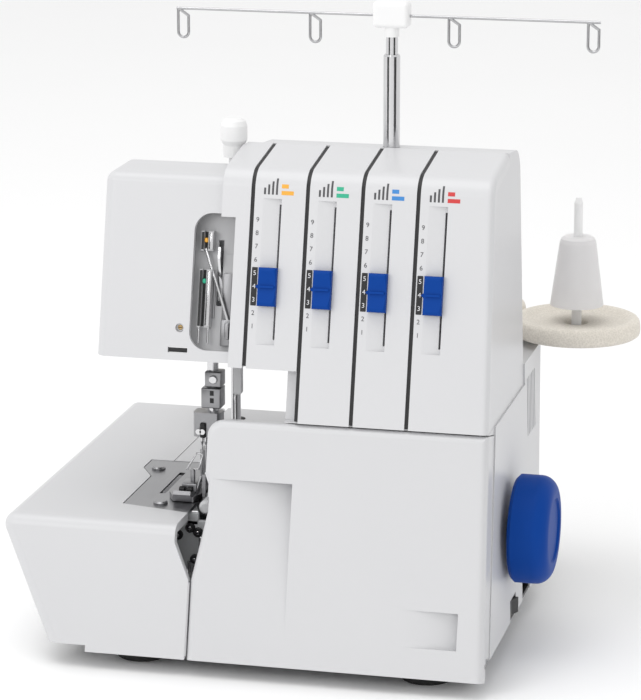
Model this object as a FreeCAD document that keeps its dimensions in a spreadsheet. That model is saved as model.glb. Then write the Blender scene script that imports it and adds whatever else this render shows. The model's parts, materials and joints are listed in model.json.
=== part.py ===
import FreeCAD, Part
import math
import os
import re
import Sketcher
from FreeCAD import Rotation, Vector

# Overlock sewing machine for the table, in millimetres.
# X runs along the arm to the handwheel, Y from the front to the back, Z up from the table.
# The whole front leans back: a place on it is given by X, by its rise up the slope from the
# lowest front edge, and by its depth square to the slope.

SIZES = {
    # Body outline
    "foot_rise": 6,
    "front_edge": -131,
    "front_lean": 13.5,
    "right_side": 110.3,
    "side_draft": 1.7,
    "column_left": -7.2,
    "lower_back": 128,
    "side_straight_back": 42,
    "rear_taper": 18,
    "deck_height": 150,
    "upper_back": 10,
    "arm_underside": 165.2,
    "housing_top": 276,
    "ridge_y": -22,
    "bend_drop": 7,
    "bend_radius": 13,
    "rear_round": 16,
    "wall": 3,
    "seam_gap": 0.5,
    "bed_set_in": 1,
    # Base and feet
    "pan_left": -108.2,
    "pan_front": -111.4,
    "pan_depth": 10,
    "pan_inset": 3,
    "foot_radius": 16,
    "foot_front_y": -99.5,
    "foot_back_y": 92,
    "foot_left_x": -87.2,
    "foot_right_x": 73.8,
    # Bed, cloth plate and needle plate
    "bed_height": 80,
    "bed_left": -166.7,
    "bed_left_low": -134.7,
    "cloth_low": 13,
    "cloth_low_right": 9.5,
    "cloth_step_x": -111.2,
    "cloth_seam_x": -99.2,
    "cloth_front_right": -54.9,
    "cloth_corner": 6,
    "cloth_thick": 4.8,
    "cloth_pin": 2,
    "cloth_lug_tall": 6,
    "bed_edge_round": 7,
    "gap_left_x": -63.7,
    "gap_low_rise": 47,
    "plate_left": -112.2,
    "plate_main_left": -103.2,
    "plate_right": -64.2,
    "plate_back": 7,
    "plate_front_right": -88,
    "plate_front_left": -79.5,
    "plate_step_y": -25,
    "plate_tab_y": -9,
    "plate_thick": 2.2,
    "plate_sunk": 0.2,
    "plate_screw": 2.1,
    "looper_gap_right": -42.2,
    "bed_plate_front": -80,
    # Front cover
    "cover_left": -54.2,
    "brow_left": -49.2,
    "brow_low": 106,
    "cover_left_mid": -46.7,
    "brow_round": 9,
    "cover_low": 3.6,
    "cover_high": 135.2,
    "cover_depth": 18,
    "cover_pin_depth": 7.5,
    "cover_pin_rise": 12.1,
    "cover_pin_radius": 1.5,
    "lug_radius": 3.4,
    "lug_width": 8,
    "scoop_left": -48.2,
    "scoop_right": 0.3,
    "scoop_low": 16,
    "scoop_high": 103,
    "scoop_depth": 12,
    "grip_left": 63.8,
    "grip_right": 94.8,
    "grip_low": 20,
    "grip_high": 40,
    "grip_depth": 6,
    # Tension panel and its sliders
    "panel_left": -39.2,
    "panel_left_top": -47.2,
    "panel_notch_rise": 245,
    "panel_skin_thick": 4.5,
    "panel_thick": 7,
    "panel_edge_round": 3.5,
    "strip_pitch": 30.4,
    "first_groove_x": -30.2,
    "groove_width": 2.2,
    "groove_depth": 4,
    "slot_low": 177,
    "slot_high": 256,
    "slot_width": 10.3,
    "slot_right": 16.2,
    "slot_depth": 1.8,
    "stem_width": 1.3,
    "stem_offset": 15.4,
    "slider_rise": 208.3,
    "slider_length": 21,
    "slider_width": 10.2,
    "slider_height": 4.5,
    "slider_offset": 11.1,
    "slider_clear": 0.3,
    "slider_round": 1.8,
    "saddle_depth": 0.9,
    "saddle_radius": 40,
    "rib_width": 1.2,
    "pointer_length": 1.6,
    "disc_radius": 9,
    "disc_axle": 2,
    "disc_z": 247,
    # Head
    "head_left": -115.7,
    "head_set_back": 5,
    "head_gap": 0.8,
    "head_top_back": -27,
    "head_back_top": 250,
    "head_top_drop": 11.7,
    "head_round": 6,
    "window_left": -63.2,
    "window_sill": 8,
    "window_high": 246,
    "window_round": 10,
    "window_depth": 14,
    # Needle bar and presser bar
    "bar_x": -63.2,
    "needle_x": -68.7,
    "needle_y": -36,
    "needle_bar_radius": 3.2,
    "needle_gauge": 2.2,
    "needle_rest": 4,
    "clamp_low": 110,
    "clamp_high": 124,
    "presser_x": -53.7,
    "presser_y": -22,
    "presser_bar_radius": 2.8,
    "lifter_x": -48,
    "lifter_y": -38,
    "lifter_z": 186,
    "lifter_low": 135,
    "pin_thick": 2.5,
    "lever_thick": 1.4,
    "seat_z": 244,
    "knob_low": 265,
    "knob_height": 24,
    "knob_radius": 7.4,
    "knob_screw": 3,
    "run_fit": 0.05,
    # Frame casting
    "frame_front": -58,
    "frame_back": -2,
    "frame_low": 16,
    "frame_base": 10,
    "frame_right": 79.8,
    "column_inner": 47.8,
    "arm_low": 200,
    "arm_high": 234,
    "arm_end": -92.2,
    # Loopers, knives and feed
    "looper_x": -54.2,
    "looper_z": 34,
    "knife_x": -61.8,
    "knife_thick": 1.8,
    "knife_front": -66,
    "knife_back": -53,
    "knife_knob_radius": 4,
    # Drive
    "shaft_y": -46,
    "shaft_drop": 8.8,
    "shaft_radius": 4.5,
    "bush_wall": 1,
    "shaft_left": -40.2,
    "wheel_radius": 30,
    "wheel_inner_x": 111.8,
    "wheel_width": 22,
    "wheel_round": 9,
    "wheel_dish": 1.2,
    "pulley_x": 84.3,
    "pulley_width": 8,
    "pulley_radius": 24,
    "pulley_gap": 0.3,
    "belt_thick": 2,
    "motor_y": 72,
    "motor_z": 52,
    "motor_radius": 27,
    "motor_length": 78,
    "motor_pulley_radius": 9,
    "motor_shaft_radius": 3,
    # Spool stand
    "stand_thick": 4,
    "stand_half": 14,
    "stand_screw": 2.1,
    "stand_screw_head": 4,
    "pin_right_x": 125.6,
    "pin_pitch": 71,
    "pin_front_y": 69,
    "pin_back_y": 93.2,
    "pad_radius": 17,
    "pin_radius": 2.9,
    "pin_neck": 2.5,
    "pin_flange": 6,
    "pin_top": 234.5,
    "cushion_radius": 37,
    "cushion_thick": 11,
    "cushion_dish": 7.7,
    "cone_low_radius": 15.4,
    "cone_top_radius": 9.5,
    "cone_height": 40,
    "cone_wall": 1.6,
    "cone_cap": 2.5,
    "cone_lift": 7,
    # Thread antenna
    "post_x": 34.2,
    "post_y": -16,
    "post_radius": 4.6,
    "post_upper_radius": 3.3,
    "post_neck": 21.2,
    "spigot_radius": 2.4,
    "antenna_z": 348.2,
    "antenna_left": -87.6,
    "antenna_right": 148.7,
    "wire_radius": 0.8,
    "eye_width": 5.9,
    "eye_tall": 16,
    "eye_slant": 4,
    "cap_width": 20,
    "cap_deep": 11,
    "cap_round": 2.5,
    "cap_neck_radius": 4,
    "cap_neck_drop": 11.6,
    # Switch and inlet on the right side
    "switch_y": -38,
    "switch_z": 22,
    "switch_size": 17,
    "rocker_pin": 1.2,
    "inlet_y": 4,
}

# Places that follow from the driving sizes
WORDS = {
    "draft_slope": "tan(side_draft)",
    "lean_cos": "cos(front_lean)",
    "lean_sin": "sin(front_lean)",
    "cover_pin_y": "front_edge + cover_pin_depth * lean_cos + cover_pin_rise * lean_sin",
    "cover_pin_z": "foot_rise - cover_pin_depth * lean_sin + cover_pin_rise * lean_cos",
    "seam_z": "foot_rise + (cover_high + seam_gap) * lean_cos",
    "bend_z": "housing_top - bend_drop",
    "head_top": "housing_top - head_top_drop",
    "window_low": "arm_underside + window_sill",
    "bed_back": "lower_back - bed_set_in",
    "shaft_z": "bed_height - shaft_drop",
    "needle_tip": "bed_height + needle_rest",
    "disc_depth": "panel_thick + disc_radius + 3.4",
    "disc_rise": "(disc_z - foot_rise + (disc_depth) * lean_sin) / lean_cos",
    "hinge_x": "cloth_seam_x - cloth_corner",
    "hinge_y": "bed_back - cloth_corner",
    "stand_top": "deck_height + stand_thick",
    "cushion_top": "stand_top + cushion_thick",
    "cone_low": "cushion_top + cone_lift",
    "post_foot": "arm_low - 100",
    "post_step": "antenna_z - post_neck",
}

doc = FreeCAD.newDocument("overlock_machine")
sheet = doc.addObject("Spreadsheet::Sheet", "sizes")
for row, (alias, value) in enumerate(SIZES.items(), start=1):
    sheet.set(f"A{row}", alias)
    sheet.set(f"B{row}", str(value))
    sheet.setAlias(f"B{row}", alias)
doc.recompute()

NODES = []
TURNS = {
    "X": Rotation(Vector(0, 1, 0), 90),
    "Y": Rotation(Vector(1, 0, 0), -90),
    "Z": Rotation(),
    "-Y": Rotation(Vector(1, 0, 0), 90),
}
PLANES = {
    "XY": (Rotation(), Vector(0, 0, 1), "z"),
    "XZ": (Rotation(Vector(1, 0, 0), 90), Vector(0, 1, 0), "y"),
    "YZ": (Rotation(Vector(1, 1, 1), 120), Vector(1, 0, 0), "x"),
}


def expand(text):
    """Write worked-out words in full and point each driving size at its cell."""
    def swap(match):
        word = match.group()
        if word in WORDS:
            return "(" + expand(WORDS[word]) + ")"
        return "sizes." + word if word in SIZES else word
    return re.sub(r"[a-z][a-z0-9_]*", swap, str(text))


def number(text):
    return float(sheet.evalExpression(expand(text)))


def bind(thing, prop, text):
    thing.setExpression(prop, expand(text))


def front(z, depth="0"):
    """Y of the leaning front at height z, or of the surface at a depth behind it."""
    return f"(front_edge + (({z}) - foot_rise) * tan(front_lean) + ({depth}) / lean_cos)"


def node(thing, label):
    """Name a finished piece, which becomes one file."""
    thing.Label = label
    NODES.append(thing)
    return thing


def place(thing, where, turn=None):
    if turn is not None:
        thing.Placement.Rotation = turn
    for letter, text in zip("xyz", where):
        bind(thing, f"Placement.Base.{letter}", text)
    return thing


def loop(sketch, points):
    """Draw a closed outline of straight lines, every corner bound to its own two sizes."""
    spots = [Vector(number(a), number(b), 0) for a, b in points]
    count = len(spots)
    for i in range(count):
        sketch.addGeometry(Part.LineSegment(spots[i], spots[(i + 1) % count]), False)
    for i in range(count):
        sketch.addConstraint(Sketcher.Constraint("Coincident", i, 2, (i + 1) % count, 1))
    for i, (a, b) in enumerate(points):
        for kind, text, value in (("DistanceX", a, spots[i].x), ("DistanceY", b, spots[i].y)):
            index = sketch.addConstraint(Sketcher.Constraint(kind, -1, 1, i, 1, value))
            bind(sketch, f"Constraints[{index}]", text)


def prism(name, plane, points, low, high):
    """A straight outline in one of the main planes, carried from low to high."""
    turn, way, letter = PLANES[plane]
    sketch = doc.addObject("Sketcher::SketchObject", name + "_outline")
    sketch.Placement.Rotation = turn
    loop(sketch, points)
    bind(sketch, f"Placement.Base.{letter}", low)
    return grow(name, sketch, way, f"({high}) - ({low})")


def grow(name, sketch, way, length):
    solid = doc.addObject("Part::Extrusion", name)
    solid.Base = sketch
    solid.DirMode = "Custom"
    solid.Dir = way
    solid.Solid = True
    bind(solid, "LengthFwd", length)
    return solid


def lean_prism(name, points, shallow, deep):
    """An outline on the leaning front, given by X and rise, from one depth to a deeper one."""
    sketch = doc.addObject("Sketcher::SketchObject", name + "_outline")
    loop(sketch, points)
    sketch.Placement.Rotation = Rotation(Vector(1, 0, 0), 90)
    bind(sketch, "Placement.Rotation.Angle", "90 - front_lean")
    bind(sketch, "Placement.Base.y", f"front_edge + ({deep}) * lean_cos")
    bind(sketch, "Placement.Base.z", f"foot_rise - ({deep}) * lean_sin")
    solid = doc.addObject("Part::Extrusion", name)
    solid.Base = sketch
    solid.DirMode = "Normal"
    solid.Solid = True
    bind(solid, "LengthFwd", f"({deep}) - ({shallow})")
    return solid


def lean_bar(name, points, low, high):
    """An outline given by X and depth behind the front, carried up the slope between two rises."""
    sketch = doc.addObject("Sketcher::SketchObject", name + "_outline")
    loop(sketch, points)
    sketch.Placement.Rotation = Rotation(Vector(-1, 0, 0), 10)
    bind(sketch, "Placement.Rotation.Angle", "front_lean")
    bind(sketch, "Placement.Base.y", f"front_edge + ({low}) * lean_sin")
    bind(sketch, "Placement.Base.z", f"foot_rise + ({low}) * lean_cos")
    solid = doc.addObject("Part::Extrusion", name)
    solid.Base = sketch
    solid.DirMode = "Normal"
    solid.Solid = True
    bind(solid, "LengthFwd", f"({high}) - ({low})")
    return solid


def box_points(left, right, low, high):
    return [(left, low), (right, low), (right, high), (left, high)]


def block(name, x, y, z):
    solid = doc.addObject("Part::Box", name)
    for prop, (low, high) in zip(("Length", "Width", "Height"), (x, y, z)):
        bind(solid, prop, f"({high}) - ({low})")
    return place(solid, (x[0], y[0], z[0]))


def rod(name, axis, start, radius, length):
    solid = doc.addObject("Part::Cylinder", name)
    bind(solid, "Radius", radius)
    bind(solid, "Height", length)
    return place(solid, start, TURNS[axis])


def turned(name, profile, where, axis="Z"):
    """A round piece: its half profile, given by radius and height, turned about its axis."""
    body = doc.addObject("PartDesign::Body", name)
    plane = next(item for item in body.Origin.OriginFeatures if item.Role == "XZ_Plane")
    sketch = body.newObject("Sketcher::SketchObject", name + "_profile")
    sketch.AttachmentSupport = (plane, "")
    sketch.MapMode = "FlatFace"
    loop(sketch, profile)
    spin = body.newObject("PartDesign::Revolution", name + "_turn")
    spin.Profile = sketch
    spin.ReferenceAxis = (sketch, ["V_Axis"])
    spin.Angle = 360
    return place(body, where, TURNS[axis])


def join(name, *pieces):
    if len(pieces) == 1:
        return pieces[0]
    solid = doc.addObject("Part::MultiFuse", name)
    solid.Shapes = list(pieces)
    return solid


def cut(name, base, *tools):
    solid = doc.addObject("Part::Cut", name)
    solid.Base = base
    solid.Tool = join(name + "_tools", *tools)
    return solid


def overlap(name, *pieces):
    solid = doc.addObject("Part::MultiCommon", name)
    solid.Shapes = list(pieces)
    return solid


def group(name, pieces):
    solid = doc.addObject("Part::Compound", name)
    solid.Links = list(pieces)
    return solid


def soften(name, base, radius, chosen):
    """Round the edges of a solid that the chosen test picks."""
    doc.recompute()
    size = number(radius)
    solid = doc.addObject("Part::Fillet", name)
    solid.Base = base
    edges = enumerate(base.Shape.Edges, start=1)
    solid.Edges = [(i, size, size) for i, edge in edges if chosen(edge)]
    return solid


def middle(edge):
    return edge.valueAt((edge.FirstParameter + edge.LastParameter) / 2)


def runs(edge, way, tolerance=0.03):
    """True for a straight edge that runs along the given way."""
    if not isinstance(edge.Curve, Part.Line):
        return False
    return abs(abs(edge.Curve.Direction.dot(way)) - 1) < tolerance


def on_front(edge, depth):
    """True for an edge that lies no deeper than the given depth behind the leaning front."""
    spot = middle(edge)
    return spot.y < number(front(str(spot.z), depth))


def base_pan():
    """Tray that everything stands in, with bored lugs for the front cover's hinge pin."""
    right = "(right_side - wall - pan_inset)"
    back = "(bed_back - wall)"
    outline = [
        ("pan_left", "pan_front"),
        (right, "pan_front"),
        (right, "side_straight_back - wall"),
        (f"{right} - rear_taper", back),
        ("pan_left", back),
    ]
    inner = [
        ("pan_left + wall", "pan_front + wall"),
        (f"{right} - wall", "pan_front + wall"),
        (f"{right} - wall", "side_straight_back - wall"),
        (f"{right} - wall - rear_taper", f"{back} - wall"),
        ("pan_left + wall", f"{back} - wall"),
    ]
    tray = prism("pan_tray", "XY", outline, "foot_rise", "foot_rise + pan_depth")
    hollow = prism("pan_hollow", "XY", inner, "foot_rise + wall", "foot_rise + pan_depth + 1")
    shell = cut("pan_shell", tray, hollow)
    lugs = []
    for i in range(3):
        left = f"cover_left + 26 + {i} * 56"
        lugs.append(rod(f"pan_lug_eye{i}", "X", (left, "cover_pin_y", "cover_pin_z"), "lug_radius",
                        "lug_width"))
        lugs.append(block(f"pan_lug_arm{i}", (left, left + " + lug_width"),
                          ("cover_pin_y", "pan_front + 1"),
                          ("foot_rise + pan_depth - 3", "cover_pin_z + lug_radius")))
    bore = rod("pan_lug_bore", "X", ("cover_left", "cover_pin_y", "cover_pin_z"),
               "cover_pin_radius + run_fit", "200")
    sockets = []
    for i, (x, y) in enumerate(foot_places()):
        sockets.append(rod(f"pan_foot_hole{i}", "Z", (x, y, "foot_rise - 1"), "3.2", "wall + 2"))
    swing_way = rod("pan_swing_way", "Z", ("hinge_x", "hinge_y", "0"), "cloth_corner + 0.6", "30")
    node(cut("pan", join("pan_body", shell, *lugs), bore, swing_way, *sockets), "base_pan")


def foot_places():
    return [(x, y) for x in ("foot_left_x", "foot_right_x") for y in ("foot_front_y", "foot_back_y")]


def rubber_feet():
    """Four soft feet, each pushed through the pan by its stud."""
    profile = [("0", "0"), ("foot_radius - 2", "0"), ("foot_radius", "foot_rise - 1.5"),
               ("foot_radius - 1", "foot_rise"), ("3", "foot_rise"), ("3", "foot_rise + wall"),
               ("4.2", "foot_rise + wall"), ("3", "foot_rise + wall + 3"), ("0", "foot_rise + wall + 3")]
    feet = [turned(f"foot{i}", profile, (x, y, "0")) for i, (x, y) in enumerate(foot_places())]
    node(group("feet", feet), "rubber_feet")


def front_cover():
    """Moulded front cover with a scooped face and a thumb recess, on knuckles round its pin."""
    outline = [
        ("cover_left", "cover_low"),
        ("right_side - 0.5", "cover_low"),
        ("right_side - 0.5 - cover_high * draft_slope", "cover_high"),
        ("brow_left", "cover_high"),
        ("brow_left", "brow_low"),
        ("cover_left_mid", "brow_low - 6"),
        ("cover_left_mid", "gap_low_rise + 38"),
        ("cover_left", "gap_low_rise"),
    ]
    inner = [
        ("cover_left + wall", "cover_low - 5"),
        ("right_side - 0.5 - wall", "cover_low - 5"),
        ("right_side - 0.5 - wall - cover_high * draft_slope", "cover_high - wall"),
        ("brow_left + wall", "cover_high - wall"),
        ("brow_left + wall", "brow_low + 1.5"),
        ("cover_left_mid + wall", "brow_low - 4.5"),
        ("cover_left_mid + wall", "gap_low_rise + 36"),
        ("cover_left + wall", "gap_low_rise - 1.5"),
    ]
    slab = lean_prism("cover_slab", outline, "0", "cover_depth")
    inward = Vector(0, number("lean_cos"), -number("lean_sin"))
    corners = soften("cover_corner", slab, "brow_round",
                     lambda e: runs(e, inward) and middle(e).x < number("brow_left + 1")
                     and middle(e).z > number("seam_z - 8"))
    face_edges = soften("cover_soft", corners, "4",
                        lambda e: on_front(e, "1") and middle(e).z > number("foot_rise + 8"))
    hollow = lean_prism("cover_hollow", inner, "wall", "cover_depth + 1")
    low_back = lean_prism("cover_low_back", box_points("cover_left - 1", "right_side + 1", "0", "16"),
                          "9", "cover_depth + 1")
    shell = cut("cover_shell", face_edges, hollow, low_back)

    # The scoop deepens from the diagonal between its two far corners to its upper right corner.
    wide = number("scoop_right - scoop_left")
    tall = number("scoop_high - scoop_low")
    reach = wide * tall / math.hypot(wide, tall)
    bulge = (reach ** 2 + number("scoop_depth") ** 2) / (2 * number("scoop_depth"))
    corner = [("scoop_left", "scoop_high"), ("scoop_right", "scoop_low"), ("scoop_right", "scoop_high")]
    behind = [("scoop_left - 2 * wall", "scoop_high + wall"), ("scoop_right + wall", "scoop_low - 2 * wall"),
              ("scoop_right + wall", "scoop_high + wall")]
    scoop = cut("scoop", lean_prism("scoop_corner", corner, "-1", "cover_depth - 1"),
                lean_rod("scoop_barrel", corner[0], corner[1], bulge, bulge))
    backing = cut("scoop_backing", lean_prism("scoop_behind", behind, "wall / 2", "cover_depth - 0.5"),
                  lean_rod("scoop_barrel_inner", corner[0], corner[1], bulge, f"{bulge} - wall"))

    # The thumb recess slopes in to a steep wall that the thumb pushes.
    span = number("grip_right - grip_left")
    curve = (span ** 2 + number("grip_depth") ** 2) / (2 * number("grip_depth"))
    line = [("grip_left", "grip_low - 20"), ("grip_left", "grip_high + 20")]
    grip = cut("grip", lean_prism("grip_box", box_points("grip_left", "grip_right", "grip_low", "grip_high"),
                                  "-1", "grip_depth + 1"),
               lean_rod("grip_barrel", line[0], line[1], curve, curve))
    grip_back = cut("grip_backing",
                    lean_prism("grip_back_box", box_points("grip_left - wall", "grip_right + wall",
                                                           "grip_low - wall", "grip_high + wall"),
                               "wall / 2", "grip_depth + wall"),
                    lean_rod("grip_barrel_inner", line[0], line[1], curve, f"{curve} - wall"))

    knuckles = []
    for i in range(3):
        left = f"cover_left + 8 + {i} * 56"
        eye = rod(f"knuckle_eye{i}", "X", (left, "cover_pin_y", "cover_pin_z"), "lug_radius - 0.4",
                  "lug_width")
        web = lean_prism(f"knuckle_web{i}", box_points(left, left + " + lug_width", "cover_pin_rise - 2.4",
                                                       "cover_pin_rise + 2.4"), "wall / 2", "cover_pin_depth")
        knuckles += [eye, web]
    bore = rod("knuckle_bore", "X", ("cover_left", "cover_pin_y", "cover_pin_z"),
               "cover_pin_radius + run_fit", "200")
    kept = overlap("scoop_backing_kept", backing, corners)
    whole = join("cover_body", shell, kept, grip_back, *knuckles)
    node(cut("cover", whole, scoop, grip, bore), "front_cover")
    pin_start = ("cover_left + 6", "cover_pin_y", "cover_pin_z")
    node(rod("cover_pin", "X", pin_start, "cover_pin_radius", "146"), "cover_hinge_pin")


def lean_rod(name, start, end, depth, radius):
    """A large cylinder whose axis lies at a depth behind the front, along a line drawn on it."""
    run_x = f"(({end[0]}) - ({start[0]}))"
    run_rise = f"(({end[1]}) - ({start[1]}))"
    length = math.hypot(number(run_x), number(run_rise))
    climb = number(run_rise)
    way = Vector(number(run_x), climb * number("lean_sin"), climb * number("lean_cos"))
    solid = doc.addObject("Part::Cylinder", name)
    bind(solid, "Radius", radius)
    bind(solid, "Height", f"{length} * 3")
    solid.Placement.Rotation = Rotation(Vector(0, 0, 1), way)
    back_x = f"({start[0]} - {run_x})"
    back_rise = f"({start[1]} - {run_rise})"
    return place(solid, (back_x, f"front_edge + ({depth}) * lean_cos + {back_rise} * lean_sin",
                         f"foot_rise - ({depth}) * lean_sin + {back_rise} * lean_cos"))


def side_cutter(name, inset, low, high):
    """Everything to the left of the drafted right side, less an inset."""
    points = [("-400", low), (f"right_side - ({inset}) - (({low}) - foot_rise) * draft_slope", low),
              (f"right_side - ({inset}) - (({high}) - foot_rise) * draft_slope", high), ("-400", high)]
    return prism(name, "XZ", points, "-300", "300")


def lower_housing():
    """Rear and right shell of the lower body: motor space, deck, side vents and switch opening."""
    def solid(name, inset, low, high):
        plan = [("column_left + " + inset, "-200"), ("right_side + 20", "-200"),
                ("right_side + 20", "side_straight_back"),
                (f"right_side - ({inset})", "side_straight_back"),
                (f"right_side - ({inset}) - rear_taper", f"lower_back - ({inset})"),
                ("column_left + " + inset, f"lower_back - ({inset})")]
        depth = "cover_depth + seam_gap" if inset == "0" else "0"
        back = f"lower_back - ({inset})"
        ledge = f"seam_z - ({inset})"
        side = [(front(low, depth), low), (back, low), (back, high), (f"upper_back - ({inset})", high),
                (f"upper_back - ({inset})", ledge), (front(ledge, depth), ledge)]
        return overlap(name, prism(name + "_plan", "XY", plan, low, high),
                       prism(name + "_side", "YZ", side, "-200", "200"),
                       side_cutter(name + "_draft", inset, low, high))
    outer = solid("lower_outer", "0", "foot_rise + pan_depth", "deck_height")
    up = Vector(0, 0, 1)
    soft = soften("lower_soft", outer, "rear_round",
                  lambda e: runs(e, up) and middle(e).y > number("lower_back - 2") and middle(e).x > 0)
    inner = solid("lower_inner", "wall", "foot_rise", "deck_height - wall")
    under_bed = block("lower_under_bed", ("column_left - 1", "column_left + wall + 1"),
                      ("-200", "lower_back - 20"), ("0", "bed_height - 4"))
    shaft_hole = rod("lower_shaft_hole", "X", ("right_side - 20", "shaft_y", "shaft_z"), "shaft_radius + 4",
                     "40")
    vents = []
    for i in range(6):
        y = f"16 + {i} * 4.6"
        vents.append(block(f"vent{i}", ("right_side - 20", "right_side + 5"), (y, y + " + 2"),
                           ("deck_height - 44", "deck_height - 10")))
    switch = block("switch_hole", ("right_side - 20", "right_side + 5"),
                   ("switch_y - switch_size / 2 - 0.4", "switch_y + switch_size / 2 + 0.4"),
                   ("switch_z - 6.4", "switch_z + 6.4"))
    inlet = block("inlet_hole", ("right_side - 20", "right_side + 5"), ("inlet_y - 12.2", "inlet_y + 12.2"),
                  ("switch_z - 6.2", "switch_z + 8.2"))
    column_way = prism("lower_column_way", "XY",
                       box_points("column_left + 2 * wall", "right_side - 16", "frame_front - 18",
                                  "upper_back - 2 * wall"),
                       "seam_z - 4 * wall", "deck_height + 2")
    node(cut("lower", soft, inner, under_bed, shaft_hole, switch, inlet, column_way, *vents), "lower_housing")


def band(outer, inner, low):
    """Side outline of a skin that follows the front up and over to the ridge."""
    return [
        (front(low, outer), low),
        (front(f"bend_z - ({outer})", outer), f"bend_z - ({outer})"),
        ("ridge_y", f"housing_top - ({outer})"),
        ("ridge_y", f"housing_top - ({inner})"),
        (front(f"bend_z - ({inner})", inner), f"bend_z - ({inner})"),
        (front(low, inner), low),
    ]


def groove_x(i):
    return f"(first_groove_x + {i} * strip_pitch)"


def at_bend(edge):
    """True for the edge along X where the front turns over into the top."""
    spot = middle(edge)
    high = abs(spot.z - number("bend_z")) < 0.5
    return runs(edge, Vector(1, 0, 0)) and high and spot.y < number("ridge_y - 5")


def tension_panel():
    """Front panel of four raised strips, parted by thread grooves, each with a slider trough."""
    skin = prism("panel_skin", "YZ", band("0", "panel_thick", "seam_z"), "panel_left", "right_side + 20")
    soft = soften("panel_soft", skin, "bend_radius", at_bend)
    drafted = overlap("panel_drafted", soft, side_cutter("panel_draft", "1", "seam_z", "housing_top + 5"))
    right = soften("panel_right_edge", drafted, "panel_edge_round",
                   lambda e: middle(e).x > number("right_side - 14") and on_front(e, "1")
                   and middle(e).z > number("seam_z + 2"))
    flap_low = "foot_rise + panel_notch_rise * lean_cos"
    flap_band = band("0", "panel_skin_thick", flap_low)
    flap = prism("panel_flap", "YZ", flap_band, "panel_left_top", "panel_left + 1")
    flap_soft = soften("panel_flap_soft", flap, "bend_radius", at_bend)
    under_arm = block("panel_under_arm", ("panel_left - 1", groove_x(1)), ("-200", "0"),
                      ("0", "arm_underside"))
    knob_way = rod("panel_knob_way", "Z", ("presser_x", "presser_y", "head_top"), "knob_radius + 0.6", "40")
    tools = [under_arm, knob_way]
    lugs = []
    for i in range(4):
        x = groove_x(i)
        half = "groove_width / 2"
        tools.append(prism(f"groove{i}", "YZ", band("-2", "groove_depth", "seam_z - 2"),
                           f"{x} - {half}", f"{x} + {half}"))
        # The trough slopes in from its left edge to a low step on the right.
        left = f"({x} + slot_right - slot_width)"
        right_edge = f"({x} + slot_right)"
        wedge = [(left, "-1"), (right_edge, "-1"), (right_edge, "slot_depth"), (left, "0")]
        tools.append(lean_bar(f"trough{i}", wedge, "slot_low", "slot_high"))
        stem_x = f"({x} + stem_offset)"
        slit = box_points(f"{stem_x} - stem_width / 2", f"{stem_x} + stem_width / 2",
                          "slot_low + 3", "slot_high - 3")
        tools.append(lean_prism(f"slit{i}", slit, "-1", "panel_thick + 1"))
        lug = box_points(f"{x} - 7.5", f"{x} - 4.5", "disc_rise - 4", "disc_rise + 4")
        lugs.append(lean_prism(f"disc_lug{i}", lug, "panel_thick - 0.5", "disc_depth + 4"))
        tools.append(rod(f"disc_bore{i}", "X", (f"{x} - 8", front("disc_z", "disc_depth"), "disc_z"),
                         "disc_axle", "4"))
    node(cut("panel", join("panel_body", right, flap_soft, *lugs), *tools), "tension_panel")


def tension_slider(i):
    """Slider with a ribbed, slightly saddled thumb grip on a stem that reaches through the panel."""
    x = f"({groove_x(i)} + slider_offset)"
    half = "slider_length / 2"
    left = f"({x} - slider_width / 2)"
    right = f"({x} + slider_width / 2)"
    plan = box_points(left, right, f"slider_rise - {half}", f"slider_rise + {half}")
    grip = lean_prism(f"slider_grip{i}", plan, "-slider_height", "-slider_clear")
    soft = soften(f"slider_soft{i}", grip, "slider_round", lambda e: on_front(e, "0.5 - slider_height"))
    saddle = lean_rod(f"slider_saddle{i}", (f"{x} - 40", "slider_rise"), (f"{x} + 40", "slider_rise"),
                      "saddle_depth - slider_height - saddle_radius", "saddle_radius")
    rib_plan = box_points(f"{left} + 1", f"{right} - 1", "slider_rise - rib_width / 2",
                          "slider_rise + rib_width / 2")
    rib = lean_prism(f"slider_rib{i}", rib_plan, "-slider_height", "-1")
    tip = [(f"{left} + 0.5", "slider_rise - 1.8"), (f"{left} + 0.5", "slider_rise + 1.8"),
           (f"{left} - pointer_length", "slider_rise")]
    pointer = lean_prism(f"slider_pointer{i}", tip, "-slider_height / 2", "-slider_clear")
    stem_x = f"({groove_x(i)} + stem_offset)"
    stem_half = "(stem_width / 2 - 0.2)"
    stem = lean_prism(f"slider_stem{i}", box_points(f"{stem_x} - {stem_half}", f"{stem_x} + {stem_half}",
                                                    "slider_rise - 5", "slider_rise + 5"),
                      "-1", "panel_thick + 0.35")
    foot_plan = box_points(f"{stem_x} - 5", f"{stem_x} + 5", "slider_rise - 6", "slider_rise + 6")
    foot = lean_prism(f"slider_foot{i}", foot_plan, "panel_thick + slider_clear", "panel_thick + 2")
    saddled = cut(f"slider_saddled{i}", soft, saddle)
    node(join(f"slider{i}", saddled, rib, pointer, stem, foot), f"tension_slider_{i + 1}")


def tension_discs():
    """Spring-loaded disc stacks behind the panel, one beside each thread groove."""
    profile = [("0", "0"), ("disc_axle", "0"), ("disc_axle", "5"), ("disc_radius", "6.5"),
               ("disc_radius", "7.3"), ("disc_axle", "8"), ("disc_radius", "8.7"), ("disc_radius", "9.5"),
               ("disc_axle", "11"), ("disc_axle", "18"), ("0", "18")]
    stacks = []
    for i in range(4):
        where = (f"{groove_x(i)} - 7.5", front("disc_z", "disc_depth"), "disc_z")
        stacks.append(turned(f"disc_stack{i}", profile, where, "X"))
    node(group("discs", stacks), "tension_discs")


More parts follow.
